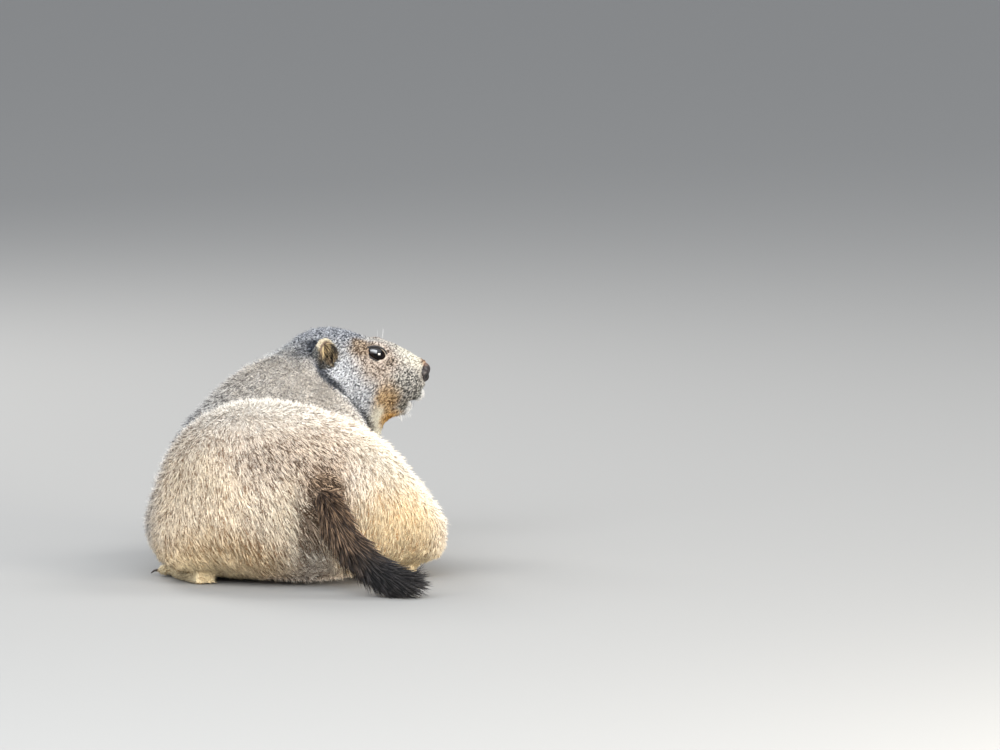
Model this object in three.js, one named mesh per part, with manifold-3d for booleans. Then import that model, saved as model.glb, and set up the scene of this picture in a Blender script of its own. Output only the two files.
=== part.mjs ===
// A life-size alpine marmot that crouches on all fours on a level floor, its trunk bent, its head
// turned to its right and its tail swept down to the same side.
// Millimetres. +Z is up, +Y is the way the trunk faces and +X is the animal's right.
import * as THREE from 'three';
import Module from 'manifold-3d';
import { mergeVertices } from 'three/addons/utils/BufferGeometryUtils.js';

const wasm = await Module();
wasm.setup();

// Driving sizes

const GAP = 0.3; // left between two pieces that meet
const SLIVER = 0.03; // edges shorter than this are left out of the finished pieces
const FLOOR = 0; // level of the soles and of the tail's underside
const SIDES = [['right', 1], ['left', -1]];

const BODY_CELL = 17.7; // facet size on the trunk and the hind legs
const ARM_CELL = 11;
const HEAD_CELL = 5.2;

const EYE_HEIGHT = 171; // of the eyes above the floor
const EYE_SPACING = 37; // between the centres of the two eyeballs
const EYE_RADIUS = 7.2;
const LID = { thick: 1.7, wide: 13.6, tall: 10.6, slant: 22 }; // the opening drops towards the nose
const EAR = { tall: 28, wide: 21, deep: 8, proud: 2, wall: 2.5, scoop: 4.5, tilt: 20, back: 44, up: 1 };
const NOSE = { tall: 19, wide: 21, back: 35, up: -18 };
const NOSTRIL = { wide: 2, long: 4, tall: 1.5, spacing: 8.6, up: -19 };
const MOUTH = { depth: 2.6, slit: 1.3, wide: 80 };

// heel, ball and toe are half widths, and a toe reaches that far past the ball
const HIND_FOOT = {
  length: 58, ankle: 14, heel: 11, ball: 15, toes: 5, spread: 9, toe: 5, reach: 18, claw: 12,
};
const FORE_FOOT = {
  length: 26, ankle: 18, heel: 11, ball: 13.5, toes: 4, spread: 12, toe: 4.8, reach: 17, claw: 16,
};
const CLAW = { root: 2.3, tip: 0.45, sunk: 4.5 };

const TAIL = { core: 8, coat: 15, sunk: 11, end: 5, steps: 9, sides: 8 }; // radii, root's depth, facets
const LOCK = { rings: 6, around: 6, first: 0.16, last: 0.97, length: 42, width: 12, thick: 4, sunk: 3.5 };

// Places. Each has its own right, forward and up axes. Its heading is in degrees from +Y towards +X.

class Place {
  constructor(x, y, z, heading) {
    this.matrix = new THREE.Matrix4().makeRotationZ(THREE.MathUtils.degToRad(-heading)).setPosition(x, y, z);
  }
  at(right, forward, up) {
    return new THREE.Vector3(right, forward, up).applyMatrix4(this.matrix);
  }
  to(right, forward, up) {
    return new THREE.Vector3(right, forward, up).transformDirection(this.matrix);
  }
}

const UP = new THREE.Vector3(0, 0, 1);
const WORLD = new Place(0, 0, 0, 0);
const hips = new Place(-4, 72, 0, -13);
const belly = new Place(-26, 148, 0, -8);
const chest = new Place(-34, 226, 0, 3);
const head = new Place(58, 306, EYE_HEIGHT, 90);

// Forms of flesh. Each gives the distance from a point to its surface, which is negative inside.

function egg(place, centre, radii) {
  const inverse = place.matrix.clone().multiply(new THREE.Matrix4().makeTranslation(...centre)).invert();
  const p = new THREE.Vector3();
  return (point) => {
    p.copy(point).applyMatrix4(inverse);
    const near = Math.hypot(p.x / radii[0], p.y / radii[1], p.z / radii[2]);
    const slope = Math.hypot(p.x / radii[0] ** 2, p.y / radii[1] ** 2, p.z / radii[2] ** 2);
    return near * (near - 1) / Math.max(slope, 1e-6);
  };
}

// A tapered limb between two points, with its right-to-left width scaled by narrow.
function limb(place, from, to, radiusFrom, radiusTo, narrow = 1) {
  const inverse = place.matrix.clone().invert();
  const start = new THREE.Vector3(from[0] / narrow, from[1], from[2]);
  const span = new THREE.Vector3(to[0] / narrow, to[1], to[2]).sub(start);
  const p = new THREE.Vector3();
  return (point) => {
    p.copy(point).applyMatrix4(inverse);
    p.x /= narrow;
    p.sub(start);
    const along = THREE.MathUtils.clamp(p.dot(span) / span.lengthSq(), 0, 1);
    const radius = THREE.MathUtils.lerp(radiusFrom, radiusTo, along);
    return (p.addScaledVector(span, -along).length() - radius) * Math.min(narrow, 1);
  };
}


// Two forms joined with a rounded valley of that reach.
function blend(a, b, reach) {
  const near = Math.max(reach - Math.abs(a - b), 0) / reach;
  return Math.min(a, b) - near * near * reach / 4;
}

// All the forms as one, each blended into those before it with its own reach.
function flesh(forms) {
  return (point) => forms.reduce((sum, [form, reach]) => blend(sum, form(point), reach), 1e3);
}

// The forms on both sides of a place: make is called with 1 for its right and -1 for its left.
const both = (make) => SIDES.flatMap(([, side]) => make(side));

// The trunk and what it carries

const NECK_TOP = head.at(0, -48, -21);
const NECK_FOOT = chest.at(2, 32, 112);

const trunk = [
  [egg(hips, [-34, 8, 82], [84, 84, 73]), 40],
  [egg(hips, [33, 6, 70], [64, 76, 60]), 40],
  [egg(hips, [0, -38, 52], [64, 44, 46]), 30],
  [egg(belly, [-8, 0, 66], [96, 100, 60]), 40],
  [egg(chest, [8, 0, 82], [80, 92, 68]), 40],
  [limb(WORLD, NECK_FOOT.toArray(), NECK_TOP.toArray(), 58, 41), 30],
];

const haunches = both((side) => [
  [egg(hips, [side * 60, 12, 51], [50, 76, 44]), 26],
  [limb(hips, [side * 98, 56, 40], [side * 106, -10, 36], 27, 25), 24],
]);

const shoulders = both((side) => [
  [egg(chest, [side * 56, 14, 70], [34, 54, 50]), 24],
  [limb(chest, [side * 66, 14, 46], [side * 50, 78, 22], 25, 15), 14],
]);

// Feet: where each toe leaves the foot and where it ends, in the foot's own axes

class Foot {
  constructor(place, sizes, side) {
    const { length, ball, toes, spread, toe, reach } = sizes;
    const middle = (toes - 1) / 2;
    this.sizes = sizes;
    this.place = place;
    this.toes = Array.from({ length: toes }, (_, i) => {
      const off = (i - middle) * side;
      const fromMiddle = Math.abs(i - middle);
      const angle = THREE.MathUtils.degToRad(off * spread);
      const run = reach * (1 - 0.085 * fromMiddle ** 1.6);
      const base = [off * ball * 2 / toes, length - 3 * fromMiddle];
      const tip = [base[0] + Math.sin(angle) * run, base[1] + Math.cos(angle) * run];
      return { base, tip, angle };
    });
  }
  // A point that far past the end of a toe, at a height above the floor.
  beyond({ tip, angle }, run, up) {
    return this.place.at(tip[0] + Math.sin(angle) * run, tip[1] + Math.cos(angle) * run, up);
  }
}

const footPlace = (place, right, forward, toeOut) => {
  const at = place.at(right, forward, 0);
  const ahead = place.to(0, 1, 0);
  const heading = THREE.MathUtils.radToDeg(Math.atan2(ahead.x, ahead.y));
  return new Place(at.x, at.y, FLOOR, heading + toeOut);
};

const feet = SIDES.flatMap(([name, side]) => [
  [`hind_foot_${name}`, new Foot(footPlace(hips, side * 88, -12, side * 8), HIND_FOOT, side)],
  [`fore_foot_${name}`, new Foot(footPlace(chest, side * 47, 76, side * 4), FORE_FOOT, side)],
]);

// The head, from forms placed from the middle of the line between the eyes

const eyeCentre = (side) => [side * EYE_SPACING / 2, 0, 0];
const LID_RADIUS = EYE_RADIUS + GAP + LID.thick;

const skull = [
  [egg(head, [0, -32, -9.5], [31, 37, 25]), 14],
  [egg(head, [0, 0, -14], [24, 34, 22]), 12],
  [limb(head, [0, 4, -19.5], [0, 27, -20], 23, 15.5, 0.95), 10],
  [egg(head, [0, 39.5, -16.5], [9.5, 6.5, 10]), 4],
  [limb(head, [0, -12, -44], [0, 20, -47], 23, 10), 8],
  [egg(head, [0, -21, -62], [25, 26, 34]), 9],
  ...both((side) => [
    [egg(head, [side * 9, 24, -30.5], [12, 16, 12]), 7],
    [egg(head, [side * 17, -21, -30], [19, 33, 31]), 16],
    [egg(head, [side * 15, -1, 4.2], [8, 13, 3.5]), 8],
    [egg(head, eyeCentre(side), [LID_RADIUS, LID_RADIUS, LID_RADIUS]), 3],
  ]),
];

const flanks = flesh([...trunk, ...haunches, ...shoulders, ...skull]);

// The closed surface on which a distance field is zero, inside a box. Each grid cell that the
// surface crosses holds one vertex, and each grid edge that it crosses is covered by one quad.
function surface(field, box, cell) {
  const size = box.getSize(new THREE.Vector3()).divideScalar(cell).ceil().addScalar(1);
  const [nx, ny, nz] = size.toArray();
  const point = new THREE.Vector3();
  const place = (i, j, k) => point.set(i, j, k).multiplyScalar(cell).add(box.min);
  const index = (i, j, k) => i + nx * (j + ny * k);
  const value = new Float32Array(nx * ny * nz);
  for (let k = 0; k < nz; k++)
    for (let j = 0; j < ny; j++)
      for (let i = 0; i < nx; i++) {
        const edge = i === 0 || j === 0 || k === 0 || i === nx - 1 || j === ny - 1 || k === nz - 1;
        const distance = field(place(i, j, k));
        value[index(i, j, k)] = edge ? Math.max(distance, cell / 4) : distance;
      }
  const steps = [[1, 0, 0], [0, 1, 0], [0, 0, 1]];
  const corners = Array.from({ length: 8 }, (_, n) => [n & 1, (n >> 1) & 1, n >> 2]);
  const edges = corners.flatMap((corner) => steps
    .filter((step) => corner.every((at, axis) => at + step[axis] < 2))
    .map((step) => [corner, step]));
  const positions = [];
  const vertexOf = new Map();
  for (let k = 0; k < nz - 1; k++)
    for (let j = 0; j < ny - 1; j++)
      for (let i = 0; i < nx - 1; i++) {
        const sum = new THREE.Vector3();
        let crossed = 0;
        for (const [[a, b, c], [di, dj, dk]] of edges) {
          const from = value[index(i + a, j + b, k + c)];
          const to = value[index(i + a + di, j + b + dj, k + c + dk)];
          if (from < 0 === to < 0) continue;
          const share = from / (from - to);
          sum.add(place(i + a + di * share, j + b + dj * share, k + c + dk * share));
          crossed++;
        }
        if (!crossed) continue;
        vertexOf.set(index(i, j, k), positions.length / 3);
        positions.push(...sum.divideScalar(crossed).toArray());
      }
  const triangles = [];
  const vertex = (n) => new THREE.Vector3().fromArray(positions, 3 * n);
  const quad = (a, b, c, d) => {
    const acrossIsShorter = vertex(a).distanceTo(vertex(c)) < vertex(b).distanceTo(vertex(d));
    triangles.push(...(acrossIsShorter ? [a, b, c, a, c, d] : [b, c, d, b, d, a]));
  };
  for (let k = 0; k < nz - 1; k++)
    for (let j = 0; j < ny - 1; j++)
      for (let i = 0; i < nx - 1; i++)
        steps.forEach(([di, dj, dk], axis) => {
          const inside = value[index(i, j, k)] < 0;
          if (inside === value[index(i + di, j + dj, k + dk)] < 0) return;
          const [u, v] = [steps[(axis + 1) % 3], steps[(axis + 2) % 3]];
          const around = [[0, 0], [1, 0], [1, 1], [0, 1]].map(([m, n]) => vertexOf.get(
            index(i - m * u[0] - n * v[0], j - m * u[1] - n * v[1], k - m * u[2] - n * v[2])));
          quad(...(inside ? around : around.reverse()));
        });
  return new THREE.BufferGeometry()
    .setAttribute('position', new THREE.Float32BufferAttribute(positions, 3))
    .setIndex(triangles);
}

// Solids

function solid(geometry) {
  const bare = new THREE.BufferGeometry().setAttribute('position', geometry.getAttribute('position'));
  if (geometry.index) bare.setIndex(geometry.index);
  const merged = mergeVertices(bare, 1e-4);
  return new wasm.Manifold(new wasm.Mesh({
    numProp: 3,
    vertProperties: new Float32Array(merged.getAttribute('position').array),
    triVerts: new Uint32Array(merged.index.array),
  }));
}

function geometryOf(made) {
  const mesh = made.getMesh();
  return new THREE.BufferGeometry()
    .setAttribute('position', new THREE.BufferAttribute(mesh.vertProperties, 3))
    .setIndex(new THREE.BufferAttribute(mesh.triVerts, 1));
}

const largest = (made) => made.decompose().sort((a, b) => b.volume() - a.volume())[0];

// A matrix that carries +Z onto a direction, at a point.
function facing(point, direction) {
  const turn = new THREE.Quaternion().setFromUnitVectors(UP, direction.clone().normalize());
  return new THREE.Matrix4().compose(point, turn, new THREE.Vector3(1, 1, 1));
}

// A cut through the flesh at a point: the pieces on its two sides keep the gap between them.
class Cut {
  constructor(point, normal) {
    const reach = 700; // past the whole animal
    const slab = (side) => solid(new THREE.BoxGeometry(reach, reach, reach)
      .translate(0, 0, side * (reach + GAP) / 2)
      .applyMatrix4(facing(point, normal)));
    this.ahead = slab(1);
    this.behind = slab(-1);
  }
}

// A prism about a line, for parting a limb from the trunk: core takes the limb and sleeve, wider by
// the gap, is what the trunk loses. With four sides it is a box.
class Bite {
  constructor(matrix, wide, tall, length, sides = 14) {
    const plain = sides === 4 ? new THREE.BoxGeometry(2, 2, 1)
      : new THREE.CylinderGeometry(1, 1, 1, sides).rotateX(Math.PI / 2);
    const prism = (grow) => solid(plain.clone()
      .scale(wide + grow, tall + grow, length + 2 * grow)
      .translate(0, 0, length / 2)
      .applyMatrix4(matrix));
    this.core = prism(0);
    this.sleeve = prism(GAP);
  }
}

// The box in the model's own axes that holds a box given in a place's axes.
function boxOf(place, low, high) {
  const box = new THREE.Box3();
  for (const right of [low[0], high[0]])
    for (const forward of [low[1], high[1]])
      for (const up of [low[2], high[2]]) box.expandByPoint(place.at(right, forward, up));
  return box;
}

// An ellipsoid in the axes of a matrix.
const ellipsoid = (matrix, radii, sides = 12) =>
  solid(new THREE.SphereGeometry(1, sides, sides - 4).scale(...radii).applyMatrix4(matrix));

const moved = (matrix, right, forward, up) =>
  matrix.clone().multiply(new THREE.Matrix4().makeTranslation(right, forward, up));

const turned = (matrix, degrees) =>
  matrix.clone().multiply(new THREE.Matrix4().makeRotationZ(THREE.MathUtils.degToRad(degrees)));

// A closed sweep along a curve. Its section, given as half its width and half its thickness for a
// share of the length, lies across the curve with its thickness along up. It may be grown all over.
function sweep(curve, up, section, steps, sides, grow = 0) {
  const positions = [];
  const triangles = [];
  const add = (point) => positions.push(...point.toArray());
  const ring = (step, side) => step * sides + (side % sides);
  for (let step = 0; step <= steps; step++) {
    const share = step / steps;
    const tangent = curve.getTangentAt(share);
    const across = tangent.clone().cross(up).normalize();
    const rise = across.clone().cross(tangent);
    const beyond = step === 0 ? -grow : step === steps ? grow : 0;
    const centre = curve.getPointAt(share).addScaledVector(tangent, beyond);
    const [wide, thick] = section(share);
    for (let side = 0; side < sides; side++) {
      const angle = Math.PI * (0.5 + 2 * side / sides);
      add(centre.clone()
        .addScaledVector(across, (wide + grow) * Math.cos(angle))
        .addScaledVector(rise, (thick + grow) * Math.sin(angle)));
    }
  }
  const [first, last] = [positions.length / 3, positions.length / 3 + 1];
  add(curve.getPointAt(0).addScaledVector(curve.getTangentAt(0), -grow));
  add(curve.getPointAt(1).addScaledVector(curve.getTangentAt(1), grow));
  for (let side = 0; side < sides; side++) {
    for (let step = 0; step < steps; step++) {
      const [a, b] = [ring(step, side), ring(step, side + 1)];
      const [c, d] = [ring(step + 1, side + 1), ring(step + 1, side)];
      triangles.push(a, d, c, a, c, b);
    }
    triangles.push(first, ring(0, side), ring(0, side + 1));
    triangles.push(last, ring(steps, side + 1), ring(steps, side));
  }
  return solid(new THREE.BufferGeometry()
    .setAttribute('position', new THREE.Float32BufferAttribute(positions, 3))
    .setIndex(triangles));
}

// The point where a walk from inside a form, in one direction, comes to its surface.
function onSurface(field, from, direction) {
  const point = from.clone();
  const way = direction.clone().normalize();
  const near = 0.02;
  for (let step = 0; step < 80 && field(point) < -near; step++) {
    point.addScaledVector(way, -0.7 * field(point));
  }
  return point;
}

// The nodes, by name

const fur = (color) => new THREE.MeshStandardMaterial({ color, roughness: 0.95 });
const GREY_COAT = fur(0x8b8378);
const BUFF_COAT = fur(0xb0946e);
const PALE_COAT = fur(0xb7a88f);
const FOOT_COAT = fur(0x9a7c55);
const DARK_COAT = fur(0x40291a);
const HORN = new THREE.MeshStandardMaterial({ color: 0x2a211b, roughness: 0.45 });
const WET_SKIN = new THREE.MeshStandardMaterial({ color: 0x1d1413, roughness: 0.4 });
const EYE = new THREE.MeshStandardMaterial({ color: 0x080607, roughness: 0.05 });

const pieces = new Map();
const keep = (name, made, material) => pieces.set(name, { made: largest(made.simplify(SLIVER)), material });

// The head, cut off just behind the ears along the fold where the cheek meets the shoulder

const headCut = new Cut(head.at(0, -75, 6), head.to(-0.28, 0.76, 0.58));
const throatCut = new Cut(head.at(0, 10, -73), head.to(0, 0.2, 0.98));
const clearOfHead = headCut.behind.add(throatCut.behind);
const headBox = boxOf(head, [-58, -96, -90], [58, 56, 34]);
let headLeft = solid(surface(flanks, headBox, HEAD_CELL)).intersect(headCut.ahead).intersect(throatCut.ahead);

// The ears are cups that face forward and outward, let into the side of the head.

const earSockets = [];
for (const [name, side] of SIDES) {
  const outward = head.to(side * 0.82, 0.56, 0.1);
  const lean = THREE.MathUtils.degToRad(EAR.tilt);
  const across = head.to(0, -Math.sin(lean), Math.cos(lean)).cross(outward).normalize();
  const tall = outward.clone().cross(across);
  const root = onSurface(flanks, head.at(side * 8, -EAR.back, EAR.up), head.to(side, 0, 0));
  const place = new THREE.Matrix4().makeBasis(across, tall, outward)
    .setPosition(root.addScaledVector(outward, EAR.proud));
  const half = [EAR.wide / 2, EAR.tall / 2, EAR.deep];
  const hollow = [half[0] - EAR.wall, half[1] - EAR.wall, EAR.deep + 1];
  const scoop = ellipsoid(moved(place, 0, 0, EAR.scoop), hollow);
  keep(`ear_${name}`, ellipsoid(place, half).subtract(scoop), PALE_COAT);
  earSockets.push(ellipsoid(place, half.map((size) => size + GAP)));
}
for (const socket of earSockets) headLeft = headLeft.subtract(socket);

// The eyes are balls in sockets, each behind the almond opening of its two lids.

for (const [name, side] of SIDES) {
  const look = facing(head.at(...eyeCentre(side)), head.to(side, 0, 0));
  const ball = (radius) => ellipsoid(look, [radius, radius, radius]);
  const opening = new Bite(turned(look, -side * LID.slant), LID.wide / 2, LID.tall / 2, 20);
  headLeft = headLeft.subtract(ball(EYE_RADIUS + GAP)).subtract(opening.core);
  keep(`eye_${name}`, ball(EYE_RADIUS), EYE);
}

// The line of the mouth is a groove of even depth: a thin ribbon less the flesh under it.

const lipLine = new THREE.CatmullRomCurve3(
  [[52, -39], [39, -40.5], [30, -43], [21, -46.5], [14, -47]]
    .map(([forward, up]) => new THREE.Vector3(forward, up, 0)),
).getPoints(10);
const lipEdge = (rise) => lipLine.map(({ x, y }) => new THREE.Vector2(x, y + rise));
const lipShape = new THREE.Shape([...lipEdge(-MOUTH.slit / 2), ...lipEdge(MOUTH.slit / 2).reverse()]);
const lipRibbon = new THREE.ExtrudeGeometry(lipShape, { depth: MOUTH.wide, bevelEnabled: false })
  .translate(0, 0, -MOUTH.wide / 2)
  .applyMatrix4(new THREE.Matrix4().makeBasis(
    new THREE.Vector3(0, 1, 0), new THREE.Vector3(0, 0, 1), new THREE.Vector3(1, 0, 0)))
  .applyMatrix4(head.matrix);
const underLips = solid(surface((point) => flanks(point) + MOUTH.depth, headBox, HEAD_CELL));
headLeft = headLeft.subtract(solid(lipRibbon).subtract(underLips));

// The bare end of the nose, with its two nostrils

const noseEnd = facing(head.at(0, NOSE.back, NOSE.up), head.to(0, 1, 0));
const noseBite = new Bite(noseEnd, NOSE.tall / 2, NOSE.wide / 2, 24);
let nose = headLeft.intersect(noseBite.core);
headLeft = headLeft.subtract(noseBite.sleeve);
for (const [, side] of SIDES) {
  const at = onSurface(flanks, head.at(side * NOSTRIL.spacing / 2, 30, NOSTRIL.up), head.to(0, 1, 0));
  const hole = facing(at, head.to(side * 0.5, 1, 0));
  nose = nose.subtract(ellipsoid(hole, [NOSTRIL.tall, NOSTRIL.wide, NOSTRIL.long], 8));
}
keep('nose', nose, WET_SKIN);
keep('head', headLeft, GREY_COAT);

// The feet, each cut off level at the ankle, with a claw let into the end of each toe

const floorCut = new Cut(new THREE.Vector3(0, 0, FLOOR - GAP / 2), new THREE.Vector3(0, 0, 1));
const trunkBox = boxOf(WORLD, [-190, -60, -30], [190, 390, 240]);
const armBox = boxOf(chest, [-110, -50, -20], [110, 140, 130]);
let left = solid(surface(flanks, trunkBox, BODY_CELL)).intersect(floorCut.ahead);
let arms = solid(surface(flanks, armBox, ARM_CELL)).intersect(floorCut.ahead);

for (const [name, foot] of feet) {
  const { place, toes, sizes } = foot;
  const { length, heel, ball, toe, reach, ankle, claw } = sizes;
  const span = (length + reach) / 2 + 22;
  const below = new Bite(moved(place.matrix, 0, (length + reach) / 2, -10), ball * 1.6, span, 10 + ankle, 4);
  const sole = new THREE.LineCurve3(place.at(0, -heel * 0.6, heel * 0.45), place.at(0, length + 1, toe));
  const soleSection = (share) => [
    THREE.MathUtils.lerp(heel, ball, share) * Math.sin(Math.PI * (0.2 + 0.6 * share)) ** 0.5,
    THREE.MathUtils.lerp(heel, toe * 1.3, share),
  ];
  const ankleFlesh = (sizes === HIND_FOOT ? left : arms).intersect(below.core);
  let paw = ankleFlesh.add(sweep(sole, UP, soleSection, 4, 8));
  for (const one of toes) {
    const arch = new THREE.QuadraticBezierCurve3(
      place.at(...one.base, toe), foot.beyond(one, -toe * 1.6, toe * 1.7), foot.beyond(one, 0, toe * 0.75));
    const fullness = (share) => {
      const half = toe * (1 - 0.5 * Math.max(0, share - 0.6) / 0.4);
      return [half * 0.95, half];
    };
    paw = paw.add(sweep(arch, UP, fullness, 3, 6));
  }
  paw = paw.intersect(floorCut.ahead).intersect(below.core);
  toes.forEach((one, i) => {
    const root = foot.beyond(one, -CLAW.sunk, toe * 0.95);
    const bend = new THREE.QuadraticBezierCurve3(
      root, foot.beyond(one, claw * 0.5, toe * 1.3), foot.beyond(one, claw, 1));
    const section = (share) => {
      const half = THREE.MathUtils.lerp(CLAW.root, CLAW.tip, share ** 1.3);
      return [half * 0.85, half];
    };
    paw = paw.subtract(sweep(bend, UP, section, 3, 5, GAP));
    keep(`claw_${name}_${i + 1}`, sweep(bend, UP, section, 3, 5), HORN);
  });
  keep(name, paw, FOOT_COAT);
  left = left.subtract(below.sleeve);
  arms = arms.subtract(below.sleeve);
}

// The legs, each parted from the trunk by prisms across and along it

function take(name, bite, material, from = left) {
  keep(name, from.intersect(bite.core), material);
  left = left.subtract(bite.sleeve);
  arms = arms.subtract(bite.sleeve);
}

// A bite that runs from one point to another.
const between = (from, to, wide, tall) =>
  new Bite(facing(from, to.clone().sub(from)), wide, tall, from.distanceTo(to));

for (const [name, side] of SIDES) {
  const [heel, knee] = [hips.at(side * 112, -40, 26), hips.at(side * 100, 90, 34)];
  take(`shank_${name}`, between(heel, knee, 30, 22), BUFF_COAT);
  const hipJoint = facing(hips.at(side * 44, 20, 62), hips.to(side, 0, 0));
  take(`thigh_${name}`, new Bite(hipJoint, 50, 62, 110), BUFF_COAT);
  const [elbow, wrist] = [chest.at(side * 70, 8, 38), chest.at(side * 48, 104, 16)];
  take(`forearm_${name}`, between(elbow, wrist, 24, 24), FOOT_COAT, arms);
  const shoulder = facing(chest.at(side * 38, 4, 70), chest.to(side, 0, 0));
  take(`upper_arm_${name}`, new Bite(shoulder, 38, 40, 90), GREY_COAT, left.intersect(clearOfHead));
}

// The tail: a core let into the rump, clothed in flat tapered locks that lie back along it

const tailStart = onSurface(flanks, hips.at(1, -40, 82), hips.to(0, -1, 0));
const tailPath = new THREE.CatmullRomCurve3([
  tailStart.clone().addScaledVector(hips.to(0, -1, 0), -TAIL.sunk),
  tailStart.clone().add(new THREE.Vector3(4, -9, -5)),
  new THREE.Vector3(30, -25, 56),
  new THREE.Vector3(48, -37, 33),
  new THREE.Vector3(70, -48, 17.5),
  new THREE.Vector3(90, -55, 14),
]);
const tailSection = (share) => {
  const half = THREE.MathUtils.lerp(TAIL.core, TAIL.end, share ** 2);
  return [half, half];
};
left = left.subtract(sweep(tailPath, UP, tailSection, TAIL.steps, TAIL.sides, GAP));

const random = seeded(7);
const vary = (size, share) => size * (1 + share * (2 * random() - 1));
let tail = sweep(tailPath, UP, tailSection, TAIL.steps, TAIL.sides);
const tailLength = tailPath.getLength();
for (let ring = 0; ring < LOCK.rings; ring++)
  for (let i = 0; i < LOCK.around; i++) {
    const start = THREE.MathUtils.lerp(LOCK.first, LOCK.last, ring / (LOCK.rings - 1));
    const angle = 2 * Math.PI * (i + (ring % 2) / 2 + vary(0.1, 1)) / LOCK.around;
    const long = vary(LOCK.length, 0.15);
    const lift = vary(TAIL.coat, 0.06) - LOCK.thick / 2;
    const spread = ring === LOCK.rings - 1 ? 0.55 : 1;
    const curve = new THREE.QuadraticBezierCurve3(
      aroundTail(start, angle, tailSection(start)[0] - LOCK.sunk),
      aroundTail(start + 0.35 * long / tailLength, angle, lift * 0.9),
      aroundTail(start + long / tailLength, angle, lift * spread));
    const clear = curve.getPoints(6).slice(1).every((point) => flanks(point) > LOCK.thick);
    if (!clear) continue;
    const outward = aroundTail(start, angle, 1).sub(aroundTail(start, angle, 0));
    const section = (share) => {
      const full = Math.sin(Math.PI * Math.min(0.25 + 0.75 * share, 0.985)) ** 0.7;
      return [LOCK.width / 2 * full, LOCK.thick / 2 * (1 - 0.7 * share)];
    };
    tail = tail.add(sweep(curve, outward, section, 3, 3));
  }
keep('tail', tail.intersect(floorCut.ahead), DARK_COAT);

// A point beside the tail's middle line. Past its end the line runs straight on.
function aroundTail(share, angle, away) {
  const along = Math.min(share, 1);
  const tangent = tailPath.getTangentAt(along);
  const point = tailPath.getPointAt(along).addScaledVector(tangent, (share - along) * tailPath.getLength());
  const across = tangent.clone().cross(UP).normalize();
  const rise = across.clone().cross(tangent);
  point.addScaledVector(across, away * Math.cos(angle)).addScaledVector(rise, away * Math.sin(angle));
  point.z = Math.max(point.z, FLOOR + LOCK.thick / 10);
  return point;
}

// The same numbers from 0 to 1 on every run.
function seeded(state) {
  return () => {
    state = (state + 0x6d2b79f5) | 0;
    let mixed = Math.imul(state ^ (state >>> 15), 1 | state);
    mixed = (mixed + Math.imul(mixed ^ (mixed >>> 7), 61 | mixed)) ^ mixed;
    return ((mixed ^ (mixed >>> 14)) >>> 0) / 4294967296;
  };
}

// The trunk, from the neck to the hips

const neckCut = new Cut(chest.at(14, 58, 128), new THREE.Vector3(0.42, 0.62, 0.66));
const chestCut = new Cut(chest.at(0, -48, 80), chest.to(0, 1, 0));
const hipCut = new Cut(hips.at(0, 56, 80), hips.to(0, 1, 0));
const neck = earSockets.reduce((made, socket) => made.subtract(socket), left);
keep('neck', neck.intersect(neckCut.ahead).intersect(clearOfHead).intersect(chestCut.ahead), GREY_COAT);
keep('chest', left.intersect(chestCut.ahead).intersect(neckCut.behind).intersect(clearOfHead), GREY_COAT);
keep('belly', left.intersect(chestCut.behind).intersect(hipCut.ahead), GREY_COAT);
keep('hips', left.intersect(hipCut.behind), BUFF_COAT);

// The animal as a group of named meshes, with the origin under the middle of its bounding box

const marmot = new THREE.Group();
marmot.name = 'marmot';
for (const [name, { made, material }] of pieces) {
  const mesh = new THREE.Mesh(geometryOf(made), material);
  mesh.name = name;
  marmot.add(mesh);
}

const extent = new THREE.Box3().setFromObject(marmot);
const middle = extent.getCenter(new THREE.Vector3());
marmot.position.set(-middle.x, -middle.y, -extent.min.z);

export default marmot;
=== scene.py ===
"""A life-size alpine marmot that crouches on a pale floor, its trunk bent, its head turned to its right
and its tail swept down to the same side. Metres, in the axes of the solids: +Y is the way the trunk
faces and +X is the animal's right. Lengths given in millimetres are multiplied by MM."""
import math

import bmesh
import bpy
import numpy as np
from mathutils import Matrix, Vector
from mathutils.bvhtree import BVHTree


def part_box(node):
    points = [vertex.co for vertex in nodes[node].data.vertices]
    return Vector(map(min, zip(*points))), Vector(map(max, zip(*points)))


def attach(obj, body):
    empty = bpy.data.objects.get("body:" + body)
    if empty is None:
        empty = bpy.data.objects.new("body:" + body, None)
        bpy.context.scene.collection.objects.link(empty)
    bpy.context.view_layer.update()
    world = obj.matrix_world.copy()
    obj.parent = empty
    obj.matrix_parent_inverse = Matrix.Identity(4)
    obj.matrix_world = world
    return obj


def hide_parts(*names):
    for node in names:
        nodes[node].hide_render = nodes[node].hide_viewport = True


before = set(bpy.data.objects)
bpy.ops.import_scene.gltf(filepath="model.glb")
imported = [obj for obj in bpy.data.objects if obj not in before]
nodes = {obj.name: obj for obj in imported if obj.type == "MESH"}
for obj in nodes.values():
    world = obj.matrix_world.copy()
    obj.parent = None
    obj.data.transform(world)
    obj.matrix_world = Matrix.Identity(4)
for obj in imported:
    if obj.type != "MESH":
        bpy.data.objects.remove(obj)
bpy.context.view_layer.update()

# The pose
#
# A crouching marmot is four stiff parts that turn against each other: hips, belly, chest and head.
# Each has its own right, forward and up axes, all placed from the line between the two eyes.

MM = 0.001
UP = Vector((0, 0, 1))
SIDES = {"right": 1, "left": -1}
EYE_HEIGHT = 171


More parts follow.
